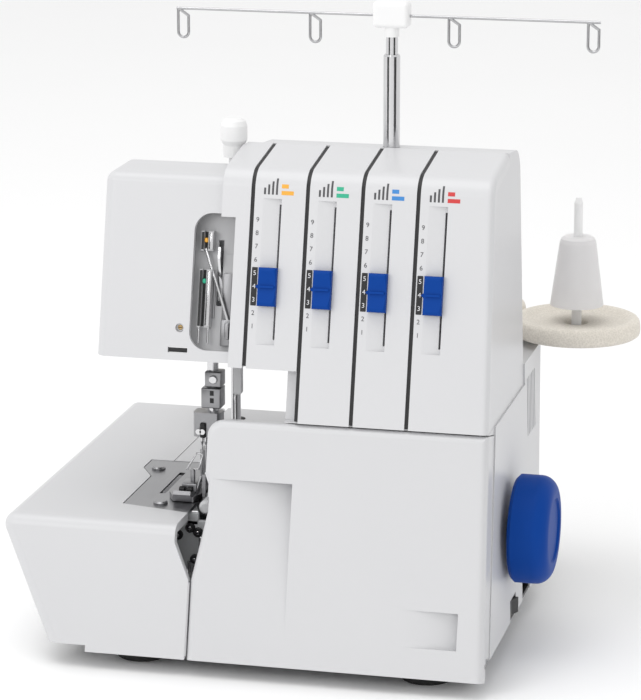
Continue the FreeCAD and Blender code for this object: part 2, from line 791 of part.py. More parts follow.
def arm_housing():
    """Column and arm shell behind the panel, with its rounded back."""
    def solid(name, inset, low):
        points = [(front(low, f"panel_thick + {inset}"), low),
                  (front(f"bend_z - panel_thick - {inset}", f"panel_thick + {inset}"),
                   f"bend_z - panel_thick - {inset}"),
                  (f"ridge_y + {inset}", f"housing_top - panel_thick - {inset}"),
                  (f"ridge_y + {inset}", f"housing_top - {inset}"),
                  (f"upper_back - {inset}", f"housing_top - 3 - {inset}"),
                  (f"upper_back - {inset}", low)]
        skin = prism(name + "_skin", "YZ", points, "panel_left + 2", "right_side + 20")
        return overlap(name, skin, side_cutter(name + "_draft", f"1 + {inset}", low, "housing_top + 5"))
    outer = solid("arm_outer", "0", "seam_z")
    soft = soften("arm_soft", outer, "14",
                  lambda e: runs(e, Vector(1, 0, 0)) and middle(e).y > number("upper_back - 1")
                  and middle(e).z > number("housing_top - 8"))
    inner = solid("arm_inner", "wall", "seam_z - 1")
    open_end = block("arm_open_end", ("panel_left - 5", "panel_left + 30"),
                     ("frame_front - 4", "upper_back - 4"), ("arm_underside + 4", "housing_top - 40"))
    throat = block("arm_throat", ("panel_left - 5", "column_left"), ("-200", "200"), ("0", "arm_underside"))
    post_hole = rod("arm_post_hole", "Z", ("post_x", "post_y", "housing_top - 40"), "post_radius + 0.3", "60")
    floor = block("arm_floor", ("panel_left + 2", "column_left + wall"),
                  (front("arm_underside + wall", "panel_thick + 0.5"), "upper_back - 1"),
                  ("arm_underside", "arm_underside + wall"))
    wall_left = block("arm_column_wall", ("column_left", "column_left + wall"),
                      (front("seam_z", "panel_thick + 8"), "upper_back - 1"),
                      ("seam_z", "arm_underside + wall"))
    way = box_points("panel_left", "right_side - 18", "slot_low - 8", "slot_high + 4")
    slider_way = lean_prism("arm_slider_way", way, "panel_thick - 1", "panel_thick + wall + 2")
    shell = cut("arm_shell", soft, inner, open_end, throat, slider_way)
    node(cut("arm", join("arm_body", shell, floor, wall_left), post_hole), "arm_housing")


def face_cover():
    """Left end cover of the head: a shell with rounded edges and a tall thread window open to the panel."""
    def solid(name, inset, low, left, right):
        set_back = f"head_set_back + {inset}"
        top = f"head_top - {inset}"
        back = f"upper_back - 2 - {inset}"
        points = [(front(low, set_back), low), (front(top, set_back), top), ("head_top_back", top),
                  (back, f"head_back_top - {inset}"), (back, low)]
        return prism(name, "YZ", points, left, right)
    low = "arm_underside + head_gap"
    outer = solid("face_outer", "0", low, "head_left", "panel_left - seam_gap")
    end = number("head_left + 0.5")
    floor = number(f"{low} + 1")
    along = Vector(1, 0, 0)
    soft = soften("face_soft", outer, "head_round",
                  lambda e: middle(e).z > floor and (middle(e).x < end or runs(e, along)))
    inner = solid("face_inner", "wall", "arm_underside - 1", "head_left + wall", "panel_left + 2")
    opening = box_points("window_left", "panel_left + 2 * window_round",
                         "(window_low - foot_rise) / lean_cos", "(window_high - foot_rise) / lean_cos")
    window = lean_prism("face_window", opening, "0", "head_set_back + 12")
    inward = Vector(0, number("lean_cos"), -number("lean_sin"))
    round_window = soften("face_window_round", window, "window_round", lambda e: runs(e, inward))
    screw = rod("face_screw_hole", "Y", ("window_left - 5.5", "-120", "window_low + 10"), "2.4", "45")
    blade_rise = "(arm_underside + 4.8)"
    cutter = lean_prism("face_cutter_slot", box_points("window_left - 11.5", "window_left - 0.5", blade_rise,
                                                       f"{blade_rise} + 2.8"), "0", "head_set_back + 12")
    knob_way = rod("face_knob_way", "Z", ("presser_x", "presser_y", "head_top - 30"), "knob_screw + 1.5",
                   "40")
    node(cut("face", soft, inner, round_window, screw, cutter, knob_way), "face_cover")


def bed_plate():
    """Fixed bed behind the needle plate, with the lugs and the pin that the cloth plate swings on."""
    left = "(cloth_seam_x + seam_gap)"
    right = "(column_left - seam_gap)"
    outline = [(left, "plate_back + 1"), ("looper_gap_right", "plate_back + 1"),
               ("looper_gap_right", "bed_plate_front"), (right, "bed_plate_front"),
               (right, "bed_back"), (left, "bed_back")]
    top = prism("bed_top", "XY", outline, "bed_height - wall", "bed_height")
    skirt = block("bed_skirt", (left, right), ("bed_back - wall", "bed_back"),
                  ("cloth_low", "bed_height - 1"))
    lugs = []
    for i, z in enumerate(CLOTH_LUGS):
        high = f"{z} + cloth_lug_tall"
        lugs.append(block(f"bed_lug_arm{i}", ("hinge_x", "cloth_seam_x + 8"), ("hinge_y - 3", "hinge_y + 3"),
                          (z, high)))
        lugs.append(rod(f"bed_lug_eye{i}", "Z", ("hinge_x", "hinge_y", z), "3", "cloth_lug_tall"))
        lugs.append(block(f"bed_lug_root{i}", ("cloth_seam_x + 2", "cloth_seam_x + 8"),
                          ("hinge_y - 3", "bed_back - 1"), (z, high)))
    bore = rod("bed_lug_bore", "Z", ("hinge_x", "hinge_y", "20"), "cloth_pin", "50")
    node(cut("bed", join("bed_body", top, skirt, *lugs), bore), "bed_plate")
    pin_foot = ("hinge_x", "hinge_y", CLOTH_LUGS[0])
    node(rod("cloth_pin_rod", "Z", pin_foot, "cloth_pin", "38"), "cloth_plate_pin")


def cloth_plate():
    """Swinging cloth plate: a rounded hollow table round the needle plate, notched beside the cover."""
    def shell(name, inset, back_inset, low, low_right):
        wide = f"({inset}) * 1.15"
        top = f"bed_height - {inset}"
        back = f"bed_back - {back_inset}"
        face = [(f"bed_left_low + {wide}", low), ("cloth_step_x", low), ("cloth_step_x", low_right),
                ("right_side", low_right), ("right_side", top), (f"bed_left + {wide}", top)]
        side = [(front(low_right, inset), low_right), (back, low_right), (back, top),
                (front(top, inset), top)]
        return overlap(name, prism(name + "_face", "XZ", face, "-200", "200"),
                       prism(name + "_side", "YZ", side, "-300", "200"))
    outer = shell("cloth_outer", "0", "0", "cloth_low", "cloth_low_right")

    def rounded(edge):
        spot = middle(edge)
        if spot.z > number("bed_height - 0.5"):
            return spot.y < number("bed_back - 5") and spot.x < number("right_side - 1")
        return spot.x < number("bed_left_low - 2") and spot.y < number(front("40", "8"))
    soft = soften("cloth_soft", outer, "bed_edge_round", rounded)
    inner = shell("cloth_inner", "cloth_thick", "wall", "cloth_low - 10", "cloth_low_right - 10")
    plan = prism("cloth_plan", "XY", [
        ("-300", "-300"), ("cloth_front_right", "-300"),
        ("cloth_front_right", "plate_front_right - seam_gap - 0.3"),
        ("plate_right", "plate_front_right - seam_gap"),
        ("plate_main_left - seam_gap", "plate_front_left - seam_gap"),
        ("plate_main_left - seam_gap", "plate_step_y"), ("plate_left - seam_gap", "plate_tab_y"),
        ("plate_left - seam_gap", "plate_back + seam_gap"), ("cloth_seam_x", "plate_back + seam_gap"),
        ("cloth_seam_x", "hinge_y"), ("hinge_x", "hinge_y"), ("hinge_x", "300"), ("-300", "300"),
    ], "0", "bed_height + 5")
    corner = rod("cloth_corner_round", "Z", ("hinge_x", "hinge_y", "0"), "cloth_corner", "bed_height + 5")
    kept = overlap("cloth_kept", cut("cloth_shell", soft, inner), join("cloth_plan_round", plan, corner))
    notch_high = "gap_low_rise + 48"
    notch = lean_prism("cloth_notch", [
        ("cloth_front_right + 5", "gap_low_rise"), ("cloth_front_right", "gap_low_rise"),
        ("gap_left_x", "gap_low_rise + 20"), ("gap_left_x", notch_high),
        ("cloth_front_right + 5", notch_high),
    ], "-2", "40")
    low = f"({CLOTH_LUGS[0]} + cloth_lug_tall + 0.4)"
    high = f"({CLOTH_LUGS[1]} - 0.4)"
    knuckle = rod("cloth_knuckle", "Z", ("hinge_x", "hinge_y", low), "cloth_corner - 0.5", f"{high} - {low}")
    web = block("cloth_knuckle_web", ("hinge_x - 9", "hinge_x"), ("hinge_y - 4", "bed_back - 1"), (low, high))
    bore = rod("cloth_bore", "Z", ("hinge_x", "hinge_y", "20"), "cloth_pin + run_fit", "50")
    ways = []
    for i, z in enumerate(CLOTH_LUGS):
        ways.append(block(f"cloth_lug_way{i}", ("hinge_x - 8", "hinge_x + 20"),
                          ("hinge_y - 40", "hinge_y + 7"), (f"{z} - 0.4", f"{z} + cloth_lug_tall + 0.4")))
    body = join("cloth_body", cut("cloth_notched", kept, notch), knuckle, web)
    node(cut("cloth", body, bore, *ways), "cloth_plate")


def needle_plate():
    """Steel needle plate with its needle opening and feed slots, held by two screws."""
    top = "(bed_height - plate_sunk)"
    outline = [("plate_left", "plate_back"), ("plate_left", "plate_tab_y"),
               ("plate_main_left", "plate_step_y"), ("plate_main_left", "plate_front_left"),
               ("plate_right", "plate_front_right"),
               ("plate_right", "plate_back - 14"), ("plate_right - 12", "plate_back")]
    blank = prism("plate_blank", "XY", outline, f"{top} - plate_thick", top)
    through = ("bed_height - 10", "bed_height + 10")
    openings = [block("plate_needle_slot", ("needle_x - 4.5", "plate_right + 1"),
                      ("needle_y - 5", "needle_y + 5"), through)]
    for i, x in enumerate(feed_rows()):
        openings.append(block(f"plate_feed_slot{i}", (f"{x} - 1.7", f"{x} + 1.7"),
                              ("needle_y - 20", "needle_y + 22"), through))
    for i, (x, y) in enumerate(plate_screw_places()):
        openings.append(rod(f"plate_hole{i}", "Z", (x, y, through[0]), "plate_screw + 0.1", "20"))
    node(cut("plate", blank, *openings), "needle_plate")
    head = [("0", "-9"), ("plate_screw", "-9"), ("plate_screw", "0"), ("4", "0"), ("4", "1"),
            ("3.2", "1.8"), ("0", "1.8")]
    screws = [turned(f"plate_screw{i}", head, (x, y, top)) for i, (x, y) in enumerate(plate_screw_places())]
    node(group("plate_screws", screws), "needle_plate_screws")


def feed_rows():
    return ["(needle_x - 12.5)", "(needle_x - 19)"]


def plate_screw_places():
    return [("plate_left + 9", "plate_back - 17"), ("plate_left + 29", "plate_front_left + 4.5")]


def main_frame():
    """Cast frame, a C seen from the front, with bearing walls and bored bosses."""
    profile = [("plate_left - 2", "frame_low"), ("frame_right", "frame_low"), ("frame_right", "arm_high"),
               ("arm_end", "arm_high"), ("arm_end", "arm_low"), ("column_inner", "arm_low"),
               ("column_inner", "frame_low + frame_base"), ("plate_left - 2", "frame_low + frame_base")]
    casting = prism("frame_casting", "XZ", profile, "frame_front", "frame_back")
    column = number("column_inner")
    inner_corner = soften("frame_soft", casting, "12",
                          lambda e: runs(e, Vector(0, 1, 0)) and abs(middle(e).x - column) < 0.5)
    slab = block("frame_slab", ("plate_left - 2", "frame_right"),
                 ("plate_front_left - 0.5", "frame_back + 12"), ("frame_low", "frame_low + frame_base"))
    wall = block("frame_wall", ("looper_gap_right + 4", "looper_gap_right + 16"),
                 ("shaft_y - 14", "needle_y + 32"), ("frame_low", "bed_height - wall"))
    post_tall = "bed_height - plate_thick - plate_sunk - frame_low"
    posts = [rod(f"frame_post{i}", "Z", (x, y, "frame_low"), "4.5", post_tall)
             for i, (x, y) in enumerate(plate_screw_places())]
    feet = [rod(f"frame_foot{i}", "Z", (x, y, "foot_rise + wall"), "6", "frame_low - foot_rise - wall + 1")
            for i, (x, y) in enumerate((("plate_left + 16", "-70"), ("frame_right - 10", "-66"),
                                        ("plate_left + 16", "2"), ("frame_right - 10", "2")))]
    bores = [
        rod("frame_shaft_bore", "X", ("shaft_left - 40", "shaft_y", "shaft_z"),
            "shaft_radius + bush_wall", "260"),
        rod("frame_needle_bore", "Z", ("bar_x", "needle_y", "arm_low - 5"), "needle_bar_radius + 2", "60"),
        rod("frame_presser_bore", "Z", ("presser_x", "presser_y", "arm_low - 5"),
            "presser_bar_radius + run_fit", "60"),
        rod("frame_post_bore", "Z", ("post_x", "post_y", "arm_low - 5"), "post_radius + run_fit", "60"),
        *[rod(f"frame_looper_bore{i}", "Y", (x, "frame_front", z), "pin_thick", "60")
          for i, (x, z) in enumerate(looper_places())],
    ]
    bores.append(rod("frame_lifter_bore", "X", ("lifter_x", "lifter_y", "lifter_z"), "pin_thick", "10"))
    bores.append(rod("frame_knife_bore", "X", ("knife_x", *KNIFE_ROCK), "pin_thick", "40"))
    bores += [rod(f"frame_screw_bore{i}", "Z", (x, y, "bed_height - 20"), "plate_screw", "25")
              for i, (x, y) in enumerate(plate_screw_places())]
    blocks = [block(f"frame_looper_block{i}", ("looper_x - 7", "looper_x + 11"), (y, y + " + 6"),
                    ("frame_low", "looper_z + 15")) for i, y in enumerate(("needle_y - 16", "needle_y + 18"))]
    lifter_ear = block("frame_lifter_ear", ("lifter_x + 2.6", "lifter_x + 6.8"),
                       ("lifter_y - 5", "lifter_y + 5"), ("lifter_z - 5", "arm_low + 1"))
    whole = join("frame_body", inner_corner, slab, wall, lifter_ear, *posts, *feet, *blocks)
    node(cut("frame", whole, *bores), "main_frame")


def needle_bar():
    """Needle bar in its bushes, clamp with two needles and their set screws."""
    bore = "needle_bar_radius + run_fit"
    skin = "needle_bar_radius + 2"
    bush = [(bore, "0"), (skin, "0"), (skin, "10"), (bore, "10")]
    bushes = [turned(f"needle_bush{i}", bush, ("bar_x", "needle_y", z))
              for i, z in enumerate(("arm_low", "arm_high - 10"))]
    node(group("needle_bushes", bushes), "needle_bar_bushes")
    top = "arm_high + 7.5"
    profile = [("0", "clamp_high - 8"), ("needle_bar_radius", "clamp_high - 8"),
               ("needle_bar_radius", top + " - 1"), ("needle_bar_radius - 0.8", top), ("0", top)]
    node(turned("bar", profile, ("bar_x", "needle_y", "0")), "needle_bar")
    clamp = block("clamp_block", ("needle_x - 5", "bar_x + 5.5"), ("needle_y - 5.5", "needle_y + 5"),
                  ("clamp_low", "clamp_high"))
    soft = soften("clamp_soft", clamp, "2.5", lambda e: runs(e, Vector(0, 0, 1)))
    seat = rod("clamp_seat", "Z", ("bar_x", "needle_y", "clamp_high - 8"), "needle_bar_radius", "20")
    needle_holes = [rod(f"clamp_hole{i}", "Z", (x, "needle_y", "clamp_low - 1"), "1", "7")
                    for i, x in enumerate(needle_places())]
    node(cut("clamp", soft, seat, *needle_holes), "needle_clamp")
    shape = [("0", "needle_tip"), ("0.5", "needle_tip + 5"), ("0.5", "clamp_low - 6"), ("1", "clamp_low - 4"),
             ("1", "clamp_low + 6"), ("0", "clamp_low + 6")]
    needles = [turned(f"needle{i}", shape, (x, "needle_y", "0")) for i, x in enumerate(needle_places())]
    node(group("needle_pair", needles), "needles")
    head = [("0", "0"), ("1.6", "0"), ("1.6", "2.4"), ("0", "2.4")]
    screws = [turned(f"clamp_screw{i}", head, (x, "needle_y - 5.5", "clamp_low + 3.5"), "-Y")
              for i, x in enumerate(needle_places())]
    node(group("clamp_screw_pair", screws), "needle_clamp_screws")


def needle_places():
    return ["(needle_x - needle_gauge / 2)", "(needle_x + needle_gauge / 2)"]


def presser():
    """Presser bar with its foot, and the lifter that hangs behind the head."""
    foot = "bed_height + 18"
    collar = ("lifter_z - 4", "lifter_z + 2")
    top = "arm_high + 2.5"
    profile = [("0", foot), ("presser_bar_radius", foot), ("presser_bar_radius", collar[0]), ("8", collar[0]),
               ("8", collar[1]), ("presser_bar_radius", collar[1]), ("presser_bar_radius", top), ("0", top)]
    node(turned("presser_rod", profile, ("presser_x", "presser_y", "0")), "presser_bar")
    socket = block("foot_socket", ("presser_x - 5", "presser_x + 5"), ("presser_y - 5", "presser_y + 5"),
                   ("bed_height + 10", "bed_height + 26"))
    arm = block("foot_arm", ("needle_x - 5", "presser_x + 5"), ("presser_y - 4", "presser_y + 4"),
                ("bed_height + 10", "bed_height + 18"))
    shank = block("foot_shank", ("needle_x - 5", "needle_x + 3"), ("presser_y - 4", "presser_y + 4"),
                  ("bed_height + 2", "bed_height + 18"))
    seat = rod("foot_seat", "Z", ("presser_x", "presser_y", foot), "presser_bar_radius", "20")
    sole = prism("foot_sole", "XY", [
        ("needle_x - 13", "needle_y + 24"), ("needle_x - 13", "needle_y - 26"),
        ("needle_x - 9", "needle_y - 34"), ("needle_x + 3", "needle_y - 34"),
        ("needle_x + 5.5", "needle_y - 26"), ("needle_x + 5.5", "needle_y + 24"),
    ], "bed_height + 0.3", "bed_height + 3.3")
    toe = prism("foot_toe", "YZ", [
        ("needle_y - 34", "bed_height + 0.3"), ("needle_y - 24", "bed_height + 0.3"),
        ("needle_y - 24", "bed_height + 3.3"), ("needle_y - 36", "bed_height + 7"),
        ("needle_y - 37", "bed_height + 5")], "needle_x - 8", "needle_x + 2")
    slot = block("foot_slot", ("needle_x - 3.6", "needle_x + 4"), ("needle_y - 5", "needle_y + 5"),
                 ("bed_height - 1", "bed_height + 8"))
    node(cut("foot", join("foot_body", socket, arm, shank, sole, toe), slot, seat), "presser_foot")
    handle = block("lifter_handle", ("lifter_x - 2.2", "lifter_x + 2.2"),
                   ("lifter_y - 2.5", "lifter_y + 2.5"), ("lifter_low", "lifter_z"))
    soft = soften("lifter_soft", handle, "2", lambda e: middle(e).z < number("lifter_low + 1"))
    finger = block("lifter_finger", ("lifter_x - 2.2", "lifter_x + 2.2"), ("lifter_y", "presser_y"),
                   ("lifter_z - 11", "lifter_z - 5"))
    eye = rod("lifter_eye", "X", ("lifter_x - 2.2", "lifter_y", "lifter_z"), "5", "4.4")
    bore = rod("lifter_bore", "X", ("lifter_x - 10", "lifter_y", "lifter_z"), "pin_thick + run_fit", "20")
    node(cut("lifter", join("lifter_body", soft, finger, eye), bore), "presser_lifter")


def pressure_screw():
    """Foot pressure knob on its screw above the presser bar, bearing on a seat."""
    waist = "knob_radius - 1.4"
    top = "knob_low + knob_height"
    knob = [("0", "seat_z + 3"), ("knob_screw", "seat_z + 3"), ("knob_screw", "knob_low + 2.5"),
            (waist, "knob_low + 2.5"), (waist, "knob_low + 9"), ("knob_radius", "knob_low + 12"),
            ("knob_radius", top + " - 4"), ("knob_radius - 1", top + " - 1.4"), ("knob_radius - 3.2", top),
            ("0", top)]
    node(turned("pressure", knob, ("presser_x", "presser_y", "0")), "pressure_knob")
    seat = [("0", "0"), ("5", "0"), ("5", "2.9"), ("0", "2.9")]
    node(turned("seat", seat, ("presser_x", "presser_y", "seat_z")), "pressure_seat")


CLOTH_LUGS = ("24", "56")
KNIFE_ROCK = ("(needle_y + 24)", "(bed_height - 14)")
TAKE_UP_ROCK = ("(frame_front - 3)", "(arm_low - 11)")


def pivot_pins():
    """Plain pins that the lifter, loopers, upper knife and take-up lever turn on."""
    pins = [rod(f"looper_pin{i}", "Y", (x, "needle_y - 16", z), "pin_thick", "40")
            for i, (x, z) in enumerate(looper_places())]
    pins.append(rod("knife_pin", "X", ("knife_x + 0.2", *KNIFE_ROCK), "pin_thick",
                    "looper_gap_right + 8 - knife_x"))
    pins.append(rod("lifter_pin", "X", ("lifter_x - 2.2", "lifter_y", "lifter_z"), "pin_thick", "9"))
    pins.append(rod("take_up_pin", "X", ("window_left + 8", *TAKE_UP_ROCK), "pin_thick", "10"))
    node(group("pins_plain", pins), "pivot_pins")


def looper_places():
    return [("looper_x", "looper_z"), ("(looper_x + 5)", "(looper_z + 10)")]


def loopers_and_knives():
    """Both loopers on their pins, the two knives and the feed dog under the needle plate."""
    x, z = looper_places()[0]
    blade = prism("lower_blade", "XZ", [
        (x + " - 2.5", z), (x + " + 2.5", z), (x + " + 1.5", z + " + 24"), (x + " - 4", z + " + 30"),
        (x + " - 20", z + " + 33"), (x + " - 19", z + " + 31"), (x + " - 6", z + " + 26"),
        (x + " - 2.5", z + " + 20"),
    ], "needle_y + 1.8", "needle_y + 3.8")
    hub = rod("lower_hub", "Y", (x, "needle_y", z), "5", "8")
    bore = rod("lower_bore", "Y", (x, "needle_y - 1", z), "pin_thick + run_fit", "10")
    node(cut("lower_loop", join("lower_loop_body", blade, hub), bore), "lower_looper")
    x, z = looper_places()[1]
    blade = prism("upper_blade", "XZ", [
        (x + " - 2.5", z), (x + " + 2.5", z), (x + " - 1.5", z + " + 22"), (x + " - 5", z + " + 34"),
        (x + " - 11", z + " + 41"), (x + " - 10", z + " + 37"), (x + " - 7", z + " + 22")],
        "needle_y - 5", "needle_y - 3")
    hub = rod("upper_hub", "Y", (x, "needle_y - 9", z), "4.5", "7")
    bore = rod("upper_bore", "Y", (x, "needle_y - 12", z), "pin_thick + run_fit", "14")
    node(cut("upper_loop", join("upper_loop_body", blade, hub), bore), "upper_looper")

    holder = block("knife_holder", ("knife_x - 0.5", "knife_x + 8"), ("knife_front", "knife_back"),
                   ("frame_low + frame_base", "frame_low + frame_base + 30"))
    lower = block("knife_lower", ("knife_x - knife_thick - 0.5", "knife_x - 0.5"),
                  ("knife_front", "knife_back"), ("frame_low + frame_base + 10", "bed_height - 0.6"))
    post = block("knife_post", ("knife_x + knife_thick + 0.9", "knife_x + 8"),
                 ("knife_front", "knife_back"), ("frame_low + frame_base", "bed_height + 5"))
    stem_x = "(knife_x + 5.4)"
    stem_bore = rod("knife_stem_bore", "Y", (stem_x, "knife_front - 1", "bed_height"), "2 + run_fit", "40")
    node(cut("knife_block", join("knife_block_body", holder, post), stem_bore), "lower_knife_holder")
    knob = [("0", "-10"), ("2", "-10"), ("2", "0.4"), ("knife_knob_radius", "0.4"),
            ("knife_knob_radius", "11"), ("knife_knob_radius - 1.5", "13"), ("0", "13")]
    node(turned("knife_dial", knob, (stem_x, "knife_front", "bed_height"), "-Y"), "knife_knob")
    node(lower, "lower_knife")
    rock_y, rock_z = KNIFE_ROCK
    upper = prism("knife_upper_arm", "YZ", [
        (f"{rock_y} + 4", f"{rock_z} - 4"), (f"{rock_y} + 4", f"{rock_z} + 4"),
        ("knife_back - 1", "bed_height - 5"), ("knife_back - 1", "bed_height + 13"),
        ("knife_front + 1", "bed_height + 15"), ("knife_front + 1", "bed_height - 2"),
        ("knife_back - 1", "bed_height - 11"),
    ], "knife_x", "knife_x + knife_thick")
    eye = rod("knife_eye", "X", ("knife_x", rock_y, rock_z), "5", "6")
    bore = rod("knife_bore", "X", ("knife_x - 1", rock_y, rock_z), "pin_thick + run_fit", "10")
    node(cut("knife_upper", join("knife_upper_body", upper, eye), bore), "upper_knife")
    rows = []
    for i, x in enumerate(feed_rows()):
        rows.append(block(f"feed_row{i}", (x + " - 1.2", x + " + 1.2"), ("needle_y - 17", "needle_y + 19"),
                          ("bed_height - 12", "bed_height - 1.4")))
        for j in range(10):
            y = f"needle_y - 16 + {j} * 3.5"
            rows.append(prism(f"feed_tooth{i}_{j}", "YZ", [
                (y, "bed_height - 1.5"), (y + " + 2.4", "bed_height - 1.5"), (y + " + 2", "bed_height - 0.4"),
            ], x + " - 1.2", x + " + 1.2"))
    carrier = block("feed_carrier", ("needle_x - 22", "needle_x - 10"), ("needle_y - 10", "needle_y + 44"),
                    ("bed_height - 16", "bed_height - 10"))
    node(join("feed", carrier, *rows), "feed_dog")


def drive():
    """Main shaft in its bushes with handwheel and pulley, belt, and motor on its bracket."""
    dish = "wheel_width - wheel_dish"
    socket = "wheel_width - 4"
    hub = "shaft_radius + 4"
    wheel = [("shaft_radius", "0"), ("wheel_radius - 2", "0"), ("wheel_radius", "2"),
             ("wheel_radius", "wheel_width"), ("wheel_radius - 12", "wheel_width"),
             ("wheel_radius - 13", dish), ("0", dish), ("0", socket), ("shaft_radius", socket)]
    drum = turned("wheel", wheel, ("wheel_inner_x", "shaft_y", "shaft_z"), "X")
    rim = number("wheel_radius - 0.1")
    outer = number("wheel_inner_x + wheel_width - 0.1")
    node(soften("wheel_soft", drum, "wheel_round",
                lambda e: e.BoundBox.ZLength > 2 * rim and middle(e).x > outer), "handwheel")
    length = f"(wheel_inner_x + {socket} - shaft_left)"
    shaft = [("0", "0"), ("shaft_radius", "0"), ("shaft_radius", length), ("0", length)]
    node(turned("shaft", shaft, ("shaft_left", "shaft_y", "shaft_z"), "X"), "main_shaft")
    flange = "pulley_radius + 3"
    groove = [("shaft_radius", "-4"), (hub, "-4"), (hub, "0"), (flange, "0"), (flange, "0.8"),
              ("pulley_radius", "1"), ("pulley_radius", "pulley_width - 1"), (flange, "pulley_width - 0.8"),
              (flange, "pulley_width"), ("shaft_radius", "pulley_width")]
    node(turned("pulley", groove, ("pulley_x", "shaft_y", "shaft_z"), "X"), "shaft_pulley")
    ring = [("shaft_radius + run_fit", "0"), ("shaft_radius + bush_wall", "0"),
            ("shaft_radius + bush_wall", "10"), ("shaft_radius + run_fit", "10")]
    bushes = [turned(f"shaft_bush{i}", ring, (x, "shaft_y", "shaft_z"), "X")
              for i, x in enumerate(("looper_gap_right + 5", "column_inner", "frame_right - 10"))]
    node(group("bushes", bushes), "shaft_bushes")

    left = "(frame_right - motor_length)"
    can = [("0", "0"), ("9", "0"), ("9", "4"), ("motor_radius - 3", "6"), ("motor_radius", "9"),
           ("motor_radius", "motor_length - 9"), ("motor_radius - 3", "motor_length - 6"),
           ("motor_radius - 3", "motor_length"), ("motor_shaft_radius + run_fit", "motor_length"),
           ("motor_shaft_radius + run_fit", "motor_length - 30"), ("0", "motor_length - 30")]
    node(turned("motor_can", can, (left, "motor_y", "motor_z"), "X"), "motor")
    cradle = block("motor_cradle", (left + " + 20", left + " + 56"), ("motor_y - 22", "motor_y + 22"),
                   ("foot_rise + wall", "motor_z - 12"))
    seat = rod("motor_seat", "X", (left, "motor_y", "motor_z"), "motor_radius", "motor_length")
    node(cut("motor_stand", cradle, seat), "motor_bracket")
    spindle = "(pulley_x + pulley_width - frame_right + 2)"
    near = f"{spindle} - pulley_width"
    flange = "motor_pulley_radius + 3"
    rotor = [("0", "-28"), ("motor_shaft_radius", "-28"), ("motor_shaft_radius", near + " - 4"),
             (flange, near + " - 2"), (flange, near + " - 1.2"), ("motor_pulley_radius", near + " - 1"),
             ("motor_pulley_radius", f"{spindle} - 3"), (flange, f"{spindle} - 2.8"),
             (flange, f"{spindle} - 2"), ("motor_shaft_radius", f"{spindle} - 2"),
             ("motor_shaft_radius", spindle), ("0", spindle)]
    node(turned("rotor", rotor, ("frame_right", "motor_y", "motor_z"), "X"), "motor_pulley")
    belt()


def belt():
    """Flat drive belt: a loop of two arcs and two tangent runs round both pulleys."""
    wide = number("pulley_width - 2.8")
    clear = number("pulley_gap")
    start = Vector(number("pulley_x + 1.4"), number("shaft_y"), number("shaft_z"))
    end = Vector(start.x, number("motor_y"), number("motor_z"))
    run = end - start
    along = Vector(run).normalize()
    across = along.cross(Vector(1, 0, 0))

    def face(extra):
        big = number("pulley_radius") + clear + extra
        small = number("motor_pulley_radius") + clear + extra
        slant = math.asin((big - small) / run.Length)
        sides = []
        for sign in (1, -1):
            way = along * math.sin(slant) + across * (sign * math.cos(slant))
            sides.append((start + way * big, end + way * small))
        edges = [
            Part.LineSegment(sides[0][0], sides[0][1]).toShape(),
            Part.Arc(sides[0][1], end + along * small, sides[1][1]).toShape(),
            Part.LineSegment(sides[1][1], sides[1][0]).toShape(),
            Part.Arc(sides[1][0], start - along * big, sides[0][0]).toShape(),
        ]
        return Part.Face(Part.Wire(edges)).extrude(Vector(wide, 0, 0))

    solid = doc.addObject("Part::Feature", "belt")
    solid.Shape = face(number("belt_thick")).cut(face(0))
    node(solid, "drive_belt")


def pin_places():
    """The four spool pins stand in two staggered rows."""
    rows = ("pin_front_y", "pin_back_y")
    return [(f"(pin_right_x - {i} * pin_pitch)", rows[i % 2]) for i in range(4)]


